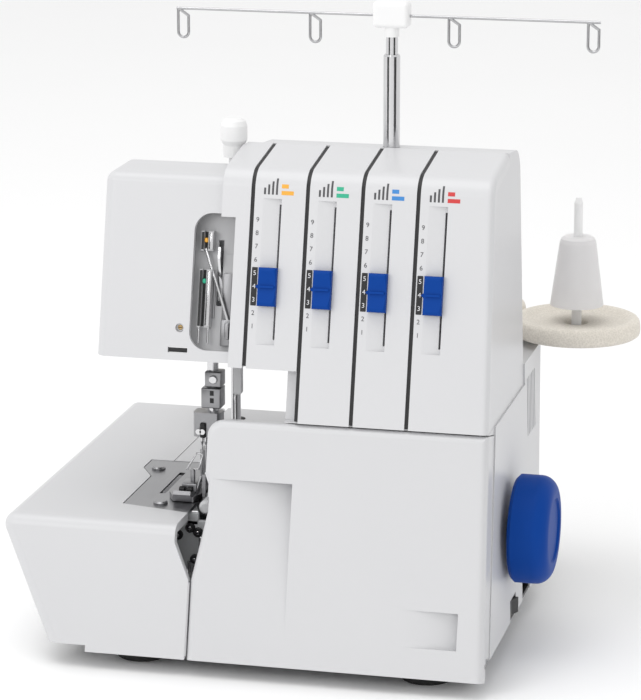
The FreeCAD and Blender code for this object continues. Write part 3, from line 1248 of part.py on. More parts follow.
def spool_stand():
    """Zigzag stand on the deck with four pins, foam cushions and thread cone holders."""
    pins = pin_places()
    near = [(x, y + " - stand_half") for x, y in pins]
    far = [(x, y + " + stand_half") for x, y in reversed(pins)]
    pieces = [prism("stand_band", "XY", near + far, "deck_height", "stand_top")]
    tools = []
    for i, (x, y) in enumerate(pins):
        pieces.append(rod(f"stand_pad{i}", "Z", (x, y, "deck_height"), "pad_radius", "stand_thick"))
        tools.append(rod(f"stand_hole{i}", "Z", (x, y, "deck_height - 1"), "pin_radius", "stand_thick + 2"))
    for i, (x, y) in enumerate(stand_screw_places()):
        tools.append(rod(f"stand_screw_hole{i}", "Z", (x, y, "deck_height - 1"), "stand_screw + 0.1",
                         "stand_thick + 2"))
        tools.append(rod(f"stand_sink{i}", "Z", (x, y, "stand_top - 2"), "stand_screw_head + 0.3", "3"))
    node(cut("stand", join("stand_body", *pieces), *tools), "spool_stand")
    head = [("0", "-stand_thick"), ("stand_screw", "-stand_thick"), ("stand_screw", "-2"),
            ("stand_screw_head", "-2"), ("stand_screw_head", "-0.2"), ("0", "-0.2")]
    screws = [turned(f"stand_screw{i}", head, (x, y, "stand_top"))
              for i, (x, y) in enumerate(stand_screw_places())]
    node(group("stand_screws", screws), "spool_stand_screws")

    rest = "(cone_low + cone_height - cone_cap)"
    pin = [("0", "deck_height"), ("pin_radius", "deck_height"), ("pin_radius", "stand_top"),
           ("pin_flange", "stand_top"), ("pin_flange", "stand_top + 1.5"), ("pin_radius", "stand_top + 2"),
           ("pin_radius", rest), ("pin_neck", rest), ("pin_neck", "pin_top - 3"), ("pin_neck - 1", "pin_top"),
           ("0", "pin_top")]
    hole = "pin_flange + 0.3"
    foam = [(hole, "0"), ("cushion_radius - 2.5", "0"), ("cushion_radius", "3.5"),
            ("cushion_radius", "cushion_thick - 3"), ("cushion_radius - 1.5", "cushion_thick - 0.6"),
            ("cushion_radius - 4", "cushion_thick"), ("cushion_radius - 7.5", "cushion_thick - 0.6"),
            ("cushion_radius - 12", "cushion_dish"), (hole, "cushion_dish")]
    inside = "cone_height - cone_cap"
    bore = "pin_neck + 0.1"
    cone = [("cone_low_radius - cone_wall", "0"), ("cone_low_radius", "0"),
            ("cone_top_radius + 1", "cone_height - 3.5"), ("cone_top_radius + 0.2", "cone_height - 1.2"),
            ("cone_top_radius - 1.8", "cone_height"), (bore, "cone_height"), (bore, inside),
            ("cone_top_radius - cone_wall", inside)]
    sets = (("spool_pins", pin, "0"), ("spool_cushions", foam, "stand_top"),
            ("cone_holders", cone, "cone_low"))
    for label, profile, low in sets:
        pieces = [turned(f"{label}{i}", profile, (x, y, low)) for i, (x, y) in enumerate(pins)]
        node(group(label + "_set", pieces), label)


def stand_screw_places():
    """Half way between each two neighbouring pins over the deck."""
    pins = pin_places()
    halves = []
    for (x, y), (next_x, next_y) in zip(pins[:2], pins[1:3]):
        halves.append((f"({x} + {next_x}) / 2", f"({y} + {next_y}) / 2"))
    return halves


def thread_eye(name, x):
    """Wire eye that hangs from the cross wire at x: a tall loop closed by a slanted run."""
    half = "eye_width / 2"
    left = f"({x} - {half})"
    right = f"({x} + {half})"
    low = f"(antenna_z - eye_tall + {half})"
    rods = [rod(name + "_left", "Z", (left, "post_y", low), "wire_radius", f"antenna_z - {low}"),
            rod(name + "_right", "Z", (right, "post_y", low), "wire_radius",
                f"antenna_z - eye_slant - {low}")]
    bow = doc.addObject("Part::Torus", name + "_bow")
    bind(bow, "Radius1", half)
    bind(bow, "Radius2", "wire_radius")
    bow.Angle3 = 180
    place(bow, (x, "post_y", low), TURNS["Y"])
    corner = doc.addObject("Part::Sphere", name + "_corner")
    bind(corner, "Radius", "wire_radius")
    place(corner, (right, "post_y", "antenna_z - eye_slant"))
    slant = Vector(-number("eye_width"), 0, number("eye_slant"))
    close = doc.addObject("Part::Cylinder", name + "_close")
    bind(close, "Radius", "wire_radius")
    bind(close, "Height", "sqrt(eye_width ^ 2 + eye_slant ^ 2)")
    place(close, (right, "post_y", "antenna_z - eye_slant"), Rotation(Vector(0, 0, 1), slant))
    return [*rods, bow, corner, close]


def antenna():
    """Telescopic post and the turning cross wire with four hanging thread eyes."""
    bore = "post_upper_radius + run_fit"
    lower = [(bore, "post_foot"), ("post_radius", "post_foot"), ("post_radius", "post_step - 1"),
             ("post_radius - 0.6", "post_step"), (bore, "post_step")]
    node(turned("post_lower", lower, ("post_x", "post_y", "0")), "post_lower_tube")
    neck = "(antenna_z - cap_neck_drop)"
    upper = [("0", "post_foot + 20"), ("post_upper_radius", "post_foot + 20"), ("post_upper_radius", neck),
             ("spigot_radius", neck), ("spigot_radius", "antenna_z + 2"), ("0", "antenna_z + 2")]
    node(turned("post_upper", upper, ("post_x", "post_y", "0")), "post_upper_tube")

    box = block("antenna_box", ("post_x - cap_width / 2", "post_x + cap_width / 2"),
                ("post_y - cap_deep / 2", "post_y + cap_deep / 2"), ("antenna_z - 6.5", "antenna_z + 8"))
    soft = soften("antenna_box_soft", box, "cap_round", lambda e: True)
    collar = rod("antenna_collar", "Z", ("post_x", "post_y", f"{neck} + 0.1"), "cap_neck_radius",
                 "cap_neck_drop - 3")
    tools = [rod("antenna_pocket", "Z", ("post_x", "post_y", f"{neck} - 1"), "spigot_radius + run_fit",
                 "cap_neck_drop + 3.1")]
    wires = []
    first = "antenna_left + eye_width / 2 + wire_radius"
    last = "antenna_right - eye_width / 2 - wire_radius"
    sides = (("left", "antenna_left", "post_x - 4", (first, "post_x - 43")),
             ("right", "post_x + 4", "antenna_right", ("post_x + 34.5", last)))
    for side, start, end, eyes in sides:
        where = (start, "post_y", "antenna_z")
        tools.append(rod(f"antenna_way_{side}", "X", where, "wire_radius", f"({end}) - ({start})"))
        pieces = [rod(f"wire_{side}", "X", where, "wire_radius", f"({end}) - ({start})")]
        for i, x in enumerate(eyes):
            pieces += thread_eye(f"eye_{side}{i}", f"({x})")
        wires.append(join(f"wire_{side}_whole", *pieces))
    node(cut("antenna_hub", join("antenna_hub_body", soft, collar), *tools), "antenna_cap")
    node(group("wires", wires), "antenna_wires")


def thread_window():
    """Back plate of the head's window with two slotted thread guides, and the take-up lever."""
    def rise(z):
        return f"(({z}) - foot_rise) / lean_cos"
    plate = lean_prism("guide_back", box_points("window_left - 2.5", "panel_left - 1", rise("window_low - 6"),
                                                rise("window_high + 2")), "window_depth", "window_depth + 2")
    pieces = [plate]
    slots = [lean_prism("guide_lever_way", box_points("window_left + 11.8", "window_left + 14.8",
                                                      rise("arm_low - 3"), rise("arm_high - 2")),
                        "0", "window_depth + 3")]
    for i, (low, high) in enumerate((("window_high - 20", "window_high - 9.5"),
                                     ("window_low + 12", "window_low + 43"))):
        pieces.append(lean_prism(f"guide_block{i}", box_points("window_left + 3", "window_left + 10",
                                                               rise(low), rise(high)),
                                 "head_set_back + 4", "window_depth + 0.5"))
        slots.append(lean_prism(f"guide_slot{i}", box_points("window_left + 4.6", "window_left + 7",
                                                             rise(low + " - 1"), rise(high + " + 1")),
                                "head_set_back", "window_depth - 2"))
    for i, x in enumerate(("window_left", "window_left + 16")):
        pieces.append(block(f"guide_foot{i}", (x, x + " + 4.5"),
                            (front("arm_low + 17", "window_depth + 1"), "frame_front"),
                            ("arm_low + 12", "arm_low + 22")))
    y, z = TAKE_UP_ROCK
    pieces.append(block("guide_ear", ("window_left + 8", "window_left + 11.6"),
                        (front(z, "window_depth + 1"), y + " + 4"), (z + " - 4", z + " + 4")))
    slots.append(rod("guide_ear_bore", "X", ("window_left + 7", y, z), "pin_thick", "6"))
    node(cut("guides", join("guides_body", *pieces), *slots), "thread_guides")
    lever = "window_left + 12.6"
    arm = prism("take_up_arm", "YZ", [
        (y + " - 1", z + " - 4"), (y + " + 4", z + " + 1"),
        (front("arm_high - 12", "window_depth - 1"), "arm_high - 12"),
        (front("arm_high - 8", "head_set_back + 5"), "arm_high - 8"),
        (front("arm_high - 14", "head_set_back + 4.5"), "arm_high - 14"),
    ], lever, lever + " + lever_thick")
    eye = rod("take_up_eye", "X", (lever, y, z), "4.4", "lever_thick")
    bore = rod("take_up_bore", "X", ("window_left + 10", y, z), "pin_thick + run_fit", "10")
    node(cut("take_up", join("take_up_body", arm, eye), bore), "take_up_lever")


def power_entry():
    """Rocker switch and mains inlet in the right side of the lower housing."""
    side = "(right_side - (switch_z - foot_rise) * draft_slope)"
    low = "(switch_y - switch_size / 2)"
    high = "(switch_y + switch_size / 2)"
    case = block("switch_case", (f"{side} - 16", f"{side} - 0.6"), (low, high),
                 ("switch_z - 6", "switch_z + 6"))
    well = block("switch_well", (f"{side} - 8", f"{side} + 1"), (f"{low} + 1.2", f"{high} - 1.2"),
                 ("switch_z - 4.8", "switch_z + 4.8"))
    pivot = (f"{side} - 3", "switch_y", "switch_z - 5.5")
    socket = rod("switch_socket", "Z", pivot, "rocker_pin + run_fit", "11")
    node(cut("switch_body_cut", case, well, socket), "switch_body")
    paddle = prism("rocker_paddle", "XY", [
        (f"{side} - 4.5", "switch_y"), (f"{side} - 3", f"{low} + 2.2"), (f"{side} - 0.8", f"{low} + 2.2"),
        (f"{side} - 0.6", "switch_y"), (f"{side} + 1.8", f"{high} - 2.2"), (f"{side} - 1.4", f"{high} - 2.2"),
    ], "switch_z - 4.4", "switch_z + 4.4")
    pin = rod("rocker_pivot", "Z", (*pivot[:2], "switch_z - 5.4"), "rocker_pin", "10.8")
    node(join("rocker", paddle, pin), "power_switch")
    shell = block("inlet_case", (f"{side} - 18", f"{side} - 0.6"), ("inlet_y - 12", "inlet_y + 12"),
                  ("switch_z - 6", "switch_z + 8"))
    mouth = block("inlet_mouth", (f"{side} - 15", f"{side} + 1"), ("inlet_y - 9.5", "inlet_y + 9.5"),
                  ("switch_z - 4", "switch_z + 6"))
    blades = []
    for i, y in enumerate(("inlet_y - 5", "inlet_y + 5")):
        blades.append(block(f"inlet_blade{i}", (f"{side} - 16", f"{side} - 4"), (f"{y} - 1", f"{y} + 1"),
                            ("switch_z - 1", "switch_z + 3")))
    node(join("inlet", cut("inlet_shell", shell, mouth), *blades), "power_inlet")


base_pan()
rubber_feet()
front_cover()
lower_housing()
tension_panel()
for index in range(4):
    tension_slider(index)
tension_discs()
arm_housing()
face_cover()
bed_plate()
cloth_plate()
needle_plate()
main_frame()
needle_bar()
presser()
pressure_screw()
pivot_pins()
loopers_and_knives()
drive()
spool_stand()
antenna()
thread_window()
power_entry()

doc.recompute()
for thing in doc.Objects:
    if "Invalid" in thing.State or "Error" in thing.State:
        raise RuntimeError(f"{thing.Label} did not build: {thing.State}")
for piece in NODES:
    if piece.Shape.isNull() or not piece.Shape.isValid():
        raise RuntimeError(f"{piece.Label} has no valid shape")
os.makedirs("parts", exist_ok=True)
for piece in NODES:
    piece.Shape.exportStep(f"parts/{piece.Label}.step")
print(len(NODES), "pieces written")
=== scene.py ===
import json
import math

import bmesh
import bpy
from mathutils import Matrix, Vector


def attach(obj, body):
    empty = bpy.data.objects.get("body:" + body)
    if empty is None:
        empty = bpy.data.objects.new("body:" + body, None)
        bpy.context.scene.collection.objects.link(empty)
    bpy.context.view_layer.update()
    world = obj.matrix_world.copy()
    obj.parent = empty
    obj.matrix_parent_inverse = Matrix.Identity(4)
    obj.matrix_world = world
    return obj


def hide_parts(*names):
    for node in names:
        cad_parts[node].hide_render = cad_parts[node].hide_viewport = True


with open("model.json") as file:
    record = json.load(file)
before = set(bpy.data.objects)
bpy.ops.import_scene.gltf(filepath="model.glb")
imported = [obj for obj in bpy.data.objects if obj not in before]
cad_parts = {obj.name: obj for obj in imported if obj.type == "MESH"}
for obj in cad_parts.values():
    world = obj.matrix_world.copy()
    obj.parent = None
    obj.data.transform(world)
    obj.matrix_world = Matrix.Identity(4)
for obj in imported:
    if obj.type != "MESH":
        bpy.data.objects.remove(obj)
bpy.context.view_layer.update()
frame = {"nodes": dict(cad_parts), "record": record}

NODES = frame["nodes"]
MM = 0.001
QUARTER_TURN = math.pi / 2

# The front leans back. A place on it is given in millimetres by x, by the rise up the slope from its lowest
# edge and by how far it stands out square from the slope.
LEAN = math.radians(13.5)
FRONT_FOOT = Vector((0.0, -131.0, 6.0))
FRONT_RISE = Vector((0.0, math.sin(LEAN), math.cos(LEAN)))
FRONT_OUT = Vector((0.0, -math.cos(LEAN), math.sin(LEAN)))

STRIPS = 4
FIRST_GROOVE_X = -30.2
STRIP_PITCH = 30.4
SLIDER_RISE = 208.3


def on_front(x, rise, out):
    """The matrix that lays a drawing in millimetres on the leaning front, in metres."""
    spot = FRONT_FOOT + FRONT_RISE * rise + FRONT_OUT * out + Vector((x, 0.0, 0.0))
    tilt = Matrix.Rotation(QUARTER_TURN - LEAN, 4, "X")
    return Matrix.Scale(MM, 4) @ Matrix.Translation(spot) @ tilt


def rise_at(height):
    """How far up the slope the front reaches a height, with out at 0."""
    return (height - FRONT_FOOT.z) / math.cos(LEAN)


def upright(x, y, z):
    """The matrix that puts a drawing in millimetres at a place, in metres, without turning it."""
    return Matrix.Scale(MM, 4) @ Matrix.Translation((x, y, z))


def facing_front(x, y, z):
    """The matrix, still in millimetres, that points the axis of a turned form to the front."""
    return Matrix.Translation((x, y, z)) @ Matrix.Rotation(QUARTER_TURN, 4, "X")


class Value:
    """A socket of a finish. Arithmetic on it adds Math nodes."""

    def __init__(self, finish, socket):
        self.finish = finish
        self.socket = socket

    def math(self, operation, first, second):
        """Adds one Math node."""
        return self.finish.node("ShaderNodeMath", {"operation": operation}, {0: first, 1: second})

    def __add__(self, other):
        return self.math("ADD", self, other)

    def __radd__(self, other):
        return self.math("ADD", other, self)

    def __mul__(self, other):
        return self.math("MULTIPLY", self, other)

    def __rmul__(self, other):
        return self.math("MULTIPLY", other, self)


# Sockets of a Mix node that mixes colours.
MIX_SHARE = 0
MIX_FIRST = 6
MIX_SECOND = 7
MIX_RESULT = 2

NOISE_ROUGHNESS = 0.55


class Finish:
    """A material made of nodes that starts from Object coordinates."""

    def __init__(self, name):
        self.material = bpy.data.materials.new(name)
        self.material.use_nodes = True
        self.tree = self.material.node_tree
        self.shader = self.tree.nodes["Principled BSDF"]
        self.place = self.node("ShaderNodeTexCoord", {}, {}, "Object")

    def node(self, kind, settings, sockets, output=0):
        """Adds a node of that kind: its settings first, then the values or links of its sockets."""
        made = self.tree.nodes.new(kind)
        for name, value in settings.items():
            setattr(made, name, value)
        for key, value in sockets.items():
            self.feed(made.inputs[key], value)
        return Value(self, made.outputs[output])

    def feed(self, socket, value):
        """Links a value of the finish to a socket, or sets a plain one on it."""
        if isinstance(value, Value):
            self.tree.links.new(value.socket, socket)
        else:
            socket.default_value = value

    def shade(self, sockets):
        """Feeds sockets of the shader by their names."""
        for name, value in sockets.items():
            self.feed(self.shader.inputs[name], value)

    def noise(self, scale, detail=3.0, place=None):
        """Soft noise with so many repeats in a metre."""
        sockets = {
            "Vector": place or self.place, "Scale": scale, "Detail": detail, "Roughness": NOISE_ROUGHNESS,
        }
        return self.node("ShaderNodeTexNoise", {"noise_dimensions": "3D"}, sockets)

    def drawn_out(self, repeats):
        """Coordinates scaled unequally along x, y and z, for grain that runs one way."""
        sockets = {"Vector": self.place, "Scale": repeats}
        return self.node("ShaderNodeMapping", {"vector_type": "POINT"}, sockets)

    def colours(self, share, first, second):
        """The first colour where share is 0, the second where it is 1."""
        sockets = {MIX_SHARE: share, MIX_FIRST: (*first, 1.0), MIX_SECOND: (*second, 1.0)}
        return self.node("ShaderNodeMix", {"data_type": "RGBA"}, sockets, MIX_RESULT)

    def bump(self, height, strength, distance):
        """Relief of some strength, with its full height in metres."""
        sockets = {"Height": height, "Strength": strength, "Distance": distance}
        self.shade({"Normal": self.node("ShaderNodeBump", {}, sockets)})


def moulded_plastic(name, first, second, roughness, grain=0.08, gloss=0.5):
    """Smooth injection-moulded plastic: slow drift in colour and gloss, and a fine spark-eroded grain."""
    made = Finish(name)
    drift = made.noise(scale=9.0, detail=2.0)
    fine = made.noise(scale=1600.0, detail=2.0)
    made.shade({
        "Base Color": made.colours(drift, first, second),
        "Roughness": roughness - 0.05 + drift * 0.06 + fine * 0.05,
        "Specular IOR Level": gloss,
        "IOR": 1.5,
    })
    made.bump(fine, strength=grain, distance=0.0002)
    return made.material


def milky_plastic(name):
    """Pale translucent plastic of the spool holders."""
    made = Finish(name)
    cloud = made.noise(scale=60.0)
    made.shade({
        "Base Color": made.colours(cloud, (0.90, 0.885, 0.89), (0.95, 0.94, 0.94)),
        "Roughness": 0.28 + cloud * 0.1,
        "Transmission Weight": 0.3,
        "IOR": 1.46,
    })
    made.bump(made.noise(scale=900.0), strength=0.06, distance=0.0002)
    return made.material


def ground_metal(name, first, second, roughness, repeats, depth):
    """Metal with grinding or polishing marks drawn out along one direction."""
    made = Finish(name)
    marks = made.noise(scale=1.0, detail=4.0, place=made.drawn_out(repeats))
    tarnish = made.noise(scale=35.0)
    made.shade({
        "Base Color": made.colours(tarnish, first, second),
        "Metallic": 1.0,
        "Roughness": roughness - 0.06 + marks * 0.12 + tarnish * 0.05,
    })
    made.bump(marks, strength=depth, distance=0.0001)
    return made.material


def cast_metal(name, first, second, metallic):
    """Sand-blasted or plated metal with fine pits and slow stains."""
    made = Finish(name)
    pits = made.noise(scale=700.0, detail=4.0)
    stain = made.noise(scale=18.0, detail=4.0)
    made.shade({
        "Base Color": made.colours(stain, first, second),
        "Metallic": metallic,
        "Roughness": 0.42 + pits * 0.2,
    })
    made.bump(pits, strength=0.25, distance=0.0003)
    return made.material


def foam(name):
    """Open-cell foam of the spool cushions: small pits and a slightly soiled colour."""
    made = Finish(name)
    cells = made.node("ShaderNodeTexVoronoi", {"feature": "F1"}, {"Vector": made.place, "Scale": 900.0})
    soil = made.noise(scale=45.0, detail=4.0)
    pitted = cells * 0.6 + soil * 0.4
    made.shade({
        "Base Color": made.colours(pitted, (0.60, 0.56, 0.49), (0.88, 0.83, 0.75)),
        "Roughness": 0.88 + soil * 0.1,
        "Specular IOR Level": 0.2,
        "Sheen Weight": 0.15,
    })
    made.bump(cells, strength=0.35, distance=0.0004)
    return made.material


def rubber(name):
    """Black rubber with a dull bloom."""
    made = Finish(name)
    bloom = made.noise(scale=120.0, detail=4.0)
    made.shade({
        "Base Color": made.colours(bloom, (0.012, 0.012, 0.012), (0.032, 0.032, 0.033)),
        "Roughness": 0.6 + bloom * 0.25,
    })
    made.bump(made.noise(scale=1400.0), strength=0.15, distance=0.0002)
    return made.material


def printed_ink(name, colour, worn):
    """Screen-printed ink with a slightly uneven coat; its black also serves as the flat black of painted
    shade.
    """
    made = Finish(name)
    coat = made.noise(scale=900.0)
    made.shade({
        "Base Color": made.colours(coat, colour, worn),
        "Roughness": 0.4 + coat * 0.15,
    })
    return made.material


# Two colours and a roughness, then the strength of the grain and the gloss where they aren't the usual ones.
PLASTICS = {
    "white_shell": ((0.595, 0.597, 0.61), (0.625, 0.625, 0.635), 0.34),
    "white_panel": ((0.61, 0.612, 0.625), (0.64, 0.64, 0.65), 0.32),
    "grey_pan": ((0.30, 0.305, 0.315), (0.36, 0.365, 0.375), 0.5, 0.2),
    "blue_plastic": ((0.003, 0.046, 0.27), (0.004, 0.056, 0.31), 0.45, 0.06, 0.08),
    "black_plastic": ((0.010, 0.010, 0.011), (0.022, 0.022, 0.023), 0.42, 0.2),
    "satin_grey": ((0.44, 0.442, 0.45), (0.50, 0.50, 0.51), 0.3),
    "bright_white": ((0.80, 0.80, 0.80), (0.86, 0.86, 0.86), 0.34),
}

# Two colours, a roughness, the repeats of the marks along x, y and z, and their depth.
GROUND_METALS = {
    "steel": ((0.30, 0.30, 0.31), (0.38, 0.38, 0.39), 0.3, (2200.0, 60.0, 2200.0), 0.12),
    "bright_steel": ((0.60, 0.60, 0.61), (0.72, 0.72, 0.73), 0.12, (300.0, 300.0, 40.0), 0.03),
    "wire_steel": ((0.44, 0.44, 0.45), (0.54, 0.54, 0.55), 0.2, (300.0, 300.0, 300.0), 0.03),
    "bush_bronze": ((0.50, 0.34, 0.15), (0.66, 0.47, 0.23), 0.3, (900.0, 900.0, 900.0), 0.1),
}

# Two colours and how metallic the surface is.
CAST_METALS = {
    "cast_metal": ((0.34, 0.35, 0.36), (0.47, 0.48, 0.49), 0.85),
    "zinc_plate": ((0.50, 0.51, 0.52), (0.62, 0.63, 0.64), 0.2),
}

# The fresh colour and the worn one.
INKS = {
    "dark_figures": ((0.05, 0.05, 0.055), (0.09, 0.09, 0.095)),
    # black_band is also the black of the painted shade in the grooves, guide slots, block holes and screw
    # slot.
    "black_band": ((0.008, 0.008, 0.009), (0.018, 0.018, 0.019)),
    "white_figures": ((0.75, 0.75, 0.75), (0.85, 0.85, 0.85)),
    "amber_mark": ((0.78, 0.36, 0.03), (0.85, 0.43, 0.05)),
    "green_mark": ((0.02, 0.38, 0.22), (0.03, 0.45, 0.27)),
    "red_mark": ((0.55, 0.03, 0.03), (0.65, 0.05, 0.05)),
    "sky_mark": ((0.03, 0.20, 0.55), (0.05, 0.26, 0.62)),
}

RECIPES = (
    (moulded_plastic, PLASTICS),
    (ground_metal, GROUND_METALS),
    (cast_metal, CAST_METALS),
    (printed_ink, INKS),
)

FINISHES = {name: recipe(name, *values) for recipe, rows in RECIPES for name, values in rows.items()}
FINISHES["clear_plastic"] = milky_plastic("clear_plastic")
FINISHES["foam"] = foam("foam")
FINISHES["rubber_black"] = rubber("rubber_black")

NODE_FINISHES = {
    "thread_guides": "satin_grey",
    "spool_pins": "bright_white",
    "pressure_knob": "bright_white",
    "antenna_cap": "bright_white",
    "antenna_wires": "wire_steel",
}


def dress_nodes():
    """Gives every CAD node a finish of its own, or else that of its slot in the record."""
    for part in frame["record"]["subparts"]:
        mesh = NODES[part["node"]].data
        mesh.materials.clear()
        mesh.materials.append(FINISHES[NODE_FINISHES.get(part["node"], part["material_slot"])])


SMOOTH_ANGLE = 35.0
SMOOTH_ALL_OVER = 180.0
EDGE_SEGMENTS = 3
MARK_SEGMENTS = 4
MARK_THICK = 0.05
FIGURE_DEPTH = 0.03
MERGE_GAP = 1e-4
ARC_STEPS = 8
WIRE_ROUNDING = 0.3


def new_object(name, form, material):
    """Makes a bmesh in metres an object of the scene, with one material."""
    mesh = bpy.data.meshes.new(name)
    form.to_mesh(mesh)
    form.free()
    mesh.materials.append(material)
    made = bpy.data.objects.new(name, mesh)
    bpy.context.scene.collection.objects.link(made)
    return made


def piece(name, form, finish, body, smooth_angle=SMOOTH_ANGLE):
    """Makes a bmesh in metres an object that rides on a body."""
    made = new_object(name, form, FINISHES[finish])
    made.data.shade_smooth()
    made.data.set_sharp_from_angle(angle=math.radians(smooth_angle))
    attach(made, body)
    return made


def add_form(form, other):
    """Adds one bmesh to another."""
    mesh = bpy.data.meshes.new("added_form")
    other.to_mesh(mesh)
    other.free()
    form.from_mesh(mesh)
    bpy.data.meshes.remove(mesh)


def turned(profile, place, steps):
    """A ring or a solid turned about its axis, from a closed row of (radius, height) in millimetres."""
    form = bmesh.new()
    corners = [form.verts.new((radius, 0.0, height)) for radius, height in profile]
    sides = [form.edges.new((corners[i - 1], corners[i])) for i in range(len(corners))]
    bmesh.ops.spin(
        form, geom=corners + sides, cent=(0.0, 0.0, 0.0), axis=(0.0, 0.0, 1.0),
        angle=2 * math.pi, steps=steps, use_merge=True,
    )
    bmesh.ops.remove_doubles(form, verts=form.verts, dist=MERGE_GAP)
    bmesh.ops.recalc_face_normals(form, faces=form.faces)
    bmesh.ops.transform(form, matrix=Matrix.Scale(MM, 4) @ place, verts=form.verts)
    return form


def rounded_block(form, size, corner, place):
    """Adds a block with rounded edges, of a size in millimetres, to a form."""
    block = bmesh.new()
    bmesh.ops.create_cube(block, size=1.0, matrix=Matrix.Diagonal((*size, 1.0)))
    bmesh.ops.bevel(
        block, geom=block.edges[:], offset=corner, offset_type="OFFSET",
        affect="EDGES", segments=EDGE_SEGMENTS, profile=0.5, material=-1,
    )
    bmesh.ops.transform(block, matrix=place, verts=block.verts)
    add_form(form, block)


def block_piece(name, rows, seat, finish, body):
    """A piece of rounded blocks: each row has a size, the rounding of its edges and a spot on the seat."""
    form = bmesh.new()
    for size, corner, spot in rows:
        rounded_block(form, size, corner, seat(*spot))
    return piece(name, form, finish, body)


def flat_mark(form, width, height, corner, place):
    """Adds a thin rounded tablet, drawn flat in millimetres, to a form."""
    tablet = bmesh.new()
    bmesh.ops.create_cube(tablet, size=1.0, matrix=Matrix.Diagonal((width, height, MARK_THICK, 1.0)))
    standing = [
        edge for edge in tablet.edges if abs(edge.verts[0].co.z - edge.verts[1].co.z) > MARK_THICK / 2
    ]
    bmesh.ops.bevel(
        tablet, geom=standing, offset=corner, offset_type="OFFSET",
        affect="EDGES", segments=MARK_SEGMENTS, profile=0.5, material=-1,
    )
    bmesh.ops.transform(tablet, matrix=place, verts=tablet.verts)
    add_form(form, tablet)


def figure(form, text, height, place):
    """Adds a printed figure, drawn flat in millimetres, to a form."""
    curve = bpy.data.curves.new("scale_figure", "FONT")
    curve.body = text
    curve.size = height
    curve.extrude = FIGURE_DEPTH
    curve.align_x = "CENTER"
    curve.align_y = "CENTER"
    holder = bpy.data.objects.new("scale_figure", curve)
    mesh = bpy.data.meshes.new_from_object(holder)
    mesh.transform(place)
    form.from_mesh(mesh)
    bpy.data.objects.remove(holder)
    bpy.data.curves.remove(curve)
    bpy.data.meshes.remove(mesh)


def slab(outline, thick, place):
    """A flat outline in millimetres, given some thickness and put in its place, in metres."""
    form = bmesh.new()
    corners = [form.verts.new((across, along, 0.0)) for across, along in outline]
    sides = [form.edges.new((corners[k - 1], corners[k])) for k in range(len(corners))]
    face = bmesh.ops.contextual_create(form, geom=sides)["faces"]
    grown = bmesh.ops.extrude_face_region(form, geom=face)["geom"]
    moved = [item for item in grown if isinstance(item, bmesh.types.BMVert)]
    bmesh.ops.translate(form, vec=(0.0, 0.0, thick), verts=moved)
    bmesh.ops.recalc_face_normals(form, faces=form.faces)
    bmesh.ops.transform(form, matrix=Matrix.Scale(MM, 4) @ place, verts=form.verts)
    return form


def side_slab(outline, left, width):
    """A slab between two places in x, whose side outline is a row of (y, z) in millimetres."""
    sideways = Matrix(((0.0, 0.0, 1.0), (1.0, 0.0, 0.0), (0.0, 1.0, 0.0))).to_4x4()
    return slab(outline, width, Matrix.Translation((left, 0.0, 0.0)) @ sideways)


def curved_strip(centre, radius, thick, first, last):
    """Outline of a strip bent round a centre, between two angles in degrees."""
    outline = []
    outward = range(ARC_STEPS + 1)
    for reach, order in ((radius, outward), (radius - thick, reversed(outward))):
        for step in order:
            angle = math.radians(first + (last - first) * step / ARC_STEPS)
            outline.append((centre[0] + reach * math.cos(angle), centre[1] + reach * math.sin(angle)))
    return outline


def wire_run(form, start, end, thick):
    """Adds one straight run of wire between two places in millimetres."""
    way = Vector(end) - Vector(start)
    turn = way.to_track_quat("Z", "Y").to_matrix().to_4x4()
    middle = (Vector(start) + Vector(end)) / 2
    size = (thick, thick, way.length + thick)
    rounded_block(form, size, thick * WIRE_ROUNDING, upright(*middle) @ turn)


SPOOLS = 4
SPOOL_X = 125.6
SPOOL_PITCH = 71.0
SPOOL_Y = (69.0, 93.2)
CUSHION_LOW = 154.0
CUSHION_STEPS = 72

# Radius and height: the underside, the rolled rim, the dished top and the hole round the pin.
CUSHION_PROFILE = (
    (6.4, 0.3), (20.0, 0.0), (34.5, 0.0), (36.7, 1.0), (37.0, 4.0), (36.8, 8.0), (35.8, 10.2), (33.0, 11.0),
    (30.0, 10.3), (27.5, 8.6), (23.0, 7.8), (14.0, 7.6), (7.4, 7.7), (6.4, 7.0), (6.3, 3.5),
)


def spool_cushions():
    """Four foam cushions with a rolled rim and a dished top."""
    for i in range(SPOOLS):
        place = Matrix.Translation((SPOOL_X - SPOOL_PITCH * i, SPOOL_Y[i % 2], CUSHION_LOW))
        form = turned(CUSHION_PROFILE, place, CUSHION_STEPS)
        cushion = piece(f"spool_cushion_{i + 1}", form, "foam", "body", SMOOTH_ALL_OVER)
        rounding = cushion.modifiers.new("rounding", "SUBSURF")
        rounding.levels = 1
        rounding.render_levels = 1
        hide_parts("spool_cushions")


SCALE_STEP = 7.2
SCALE_MIDDLE = 4
SCALE_TOP = 9
FIGURE_OFFSET = 3.4
FIGURE_HEIGHT = 3.6
BAND_OFFSET = 3.3
BAND_WIDTH = 3.2
BAND_TALL = 20.8
BAND_CORNER = 0.4
INK_OUT = 0.06


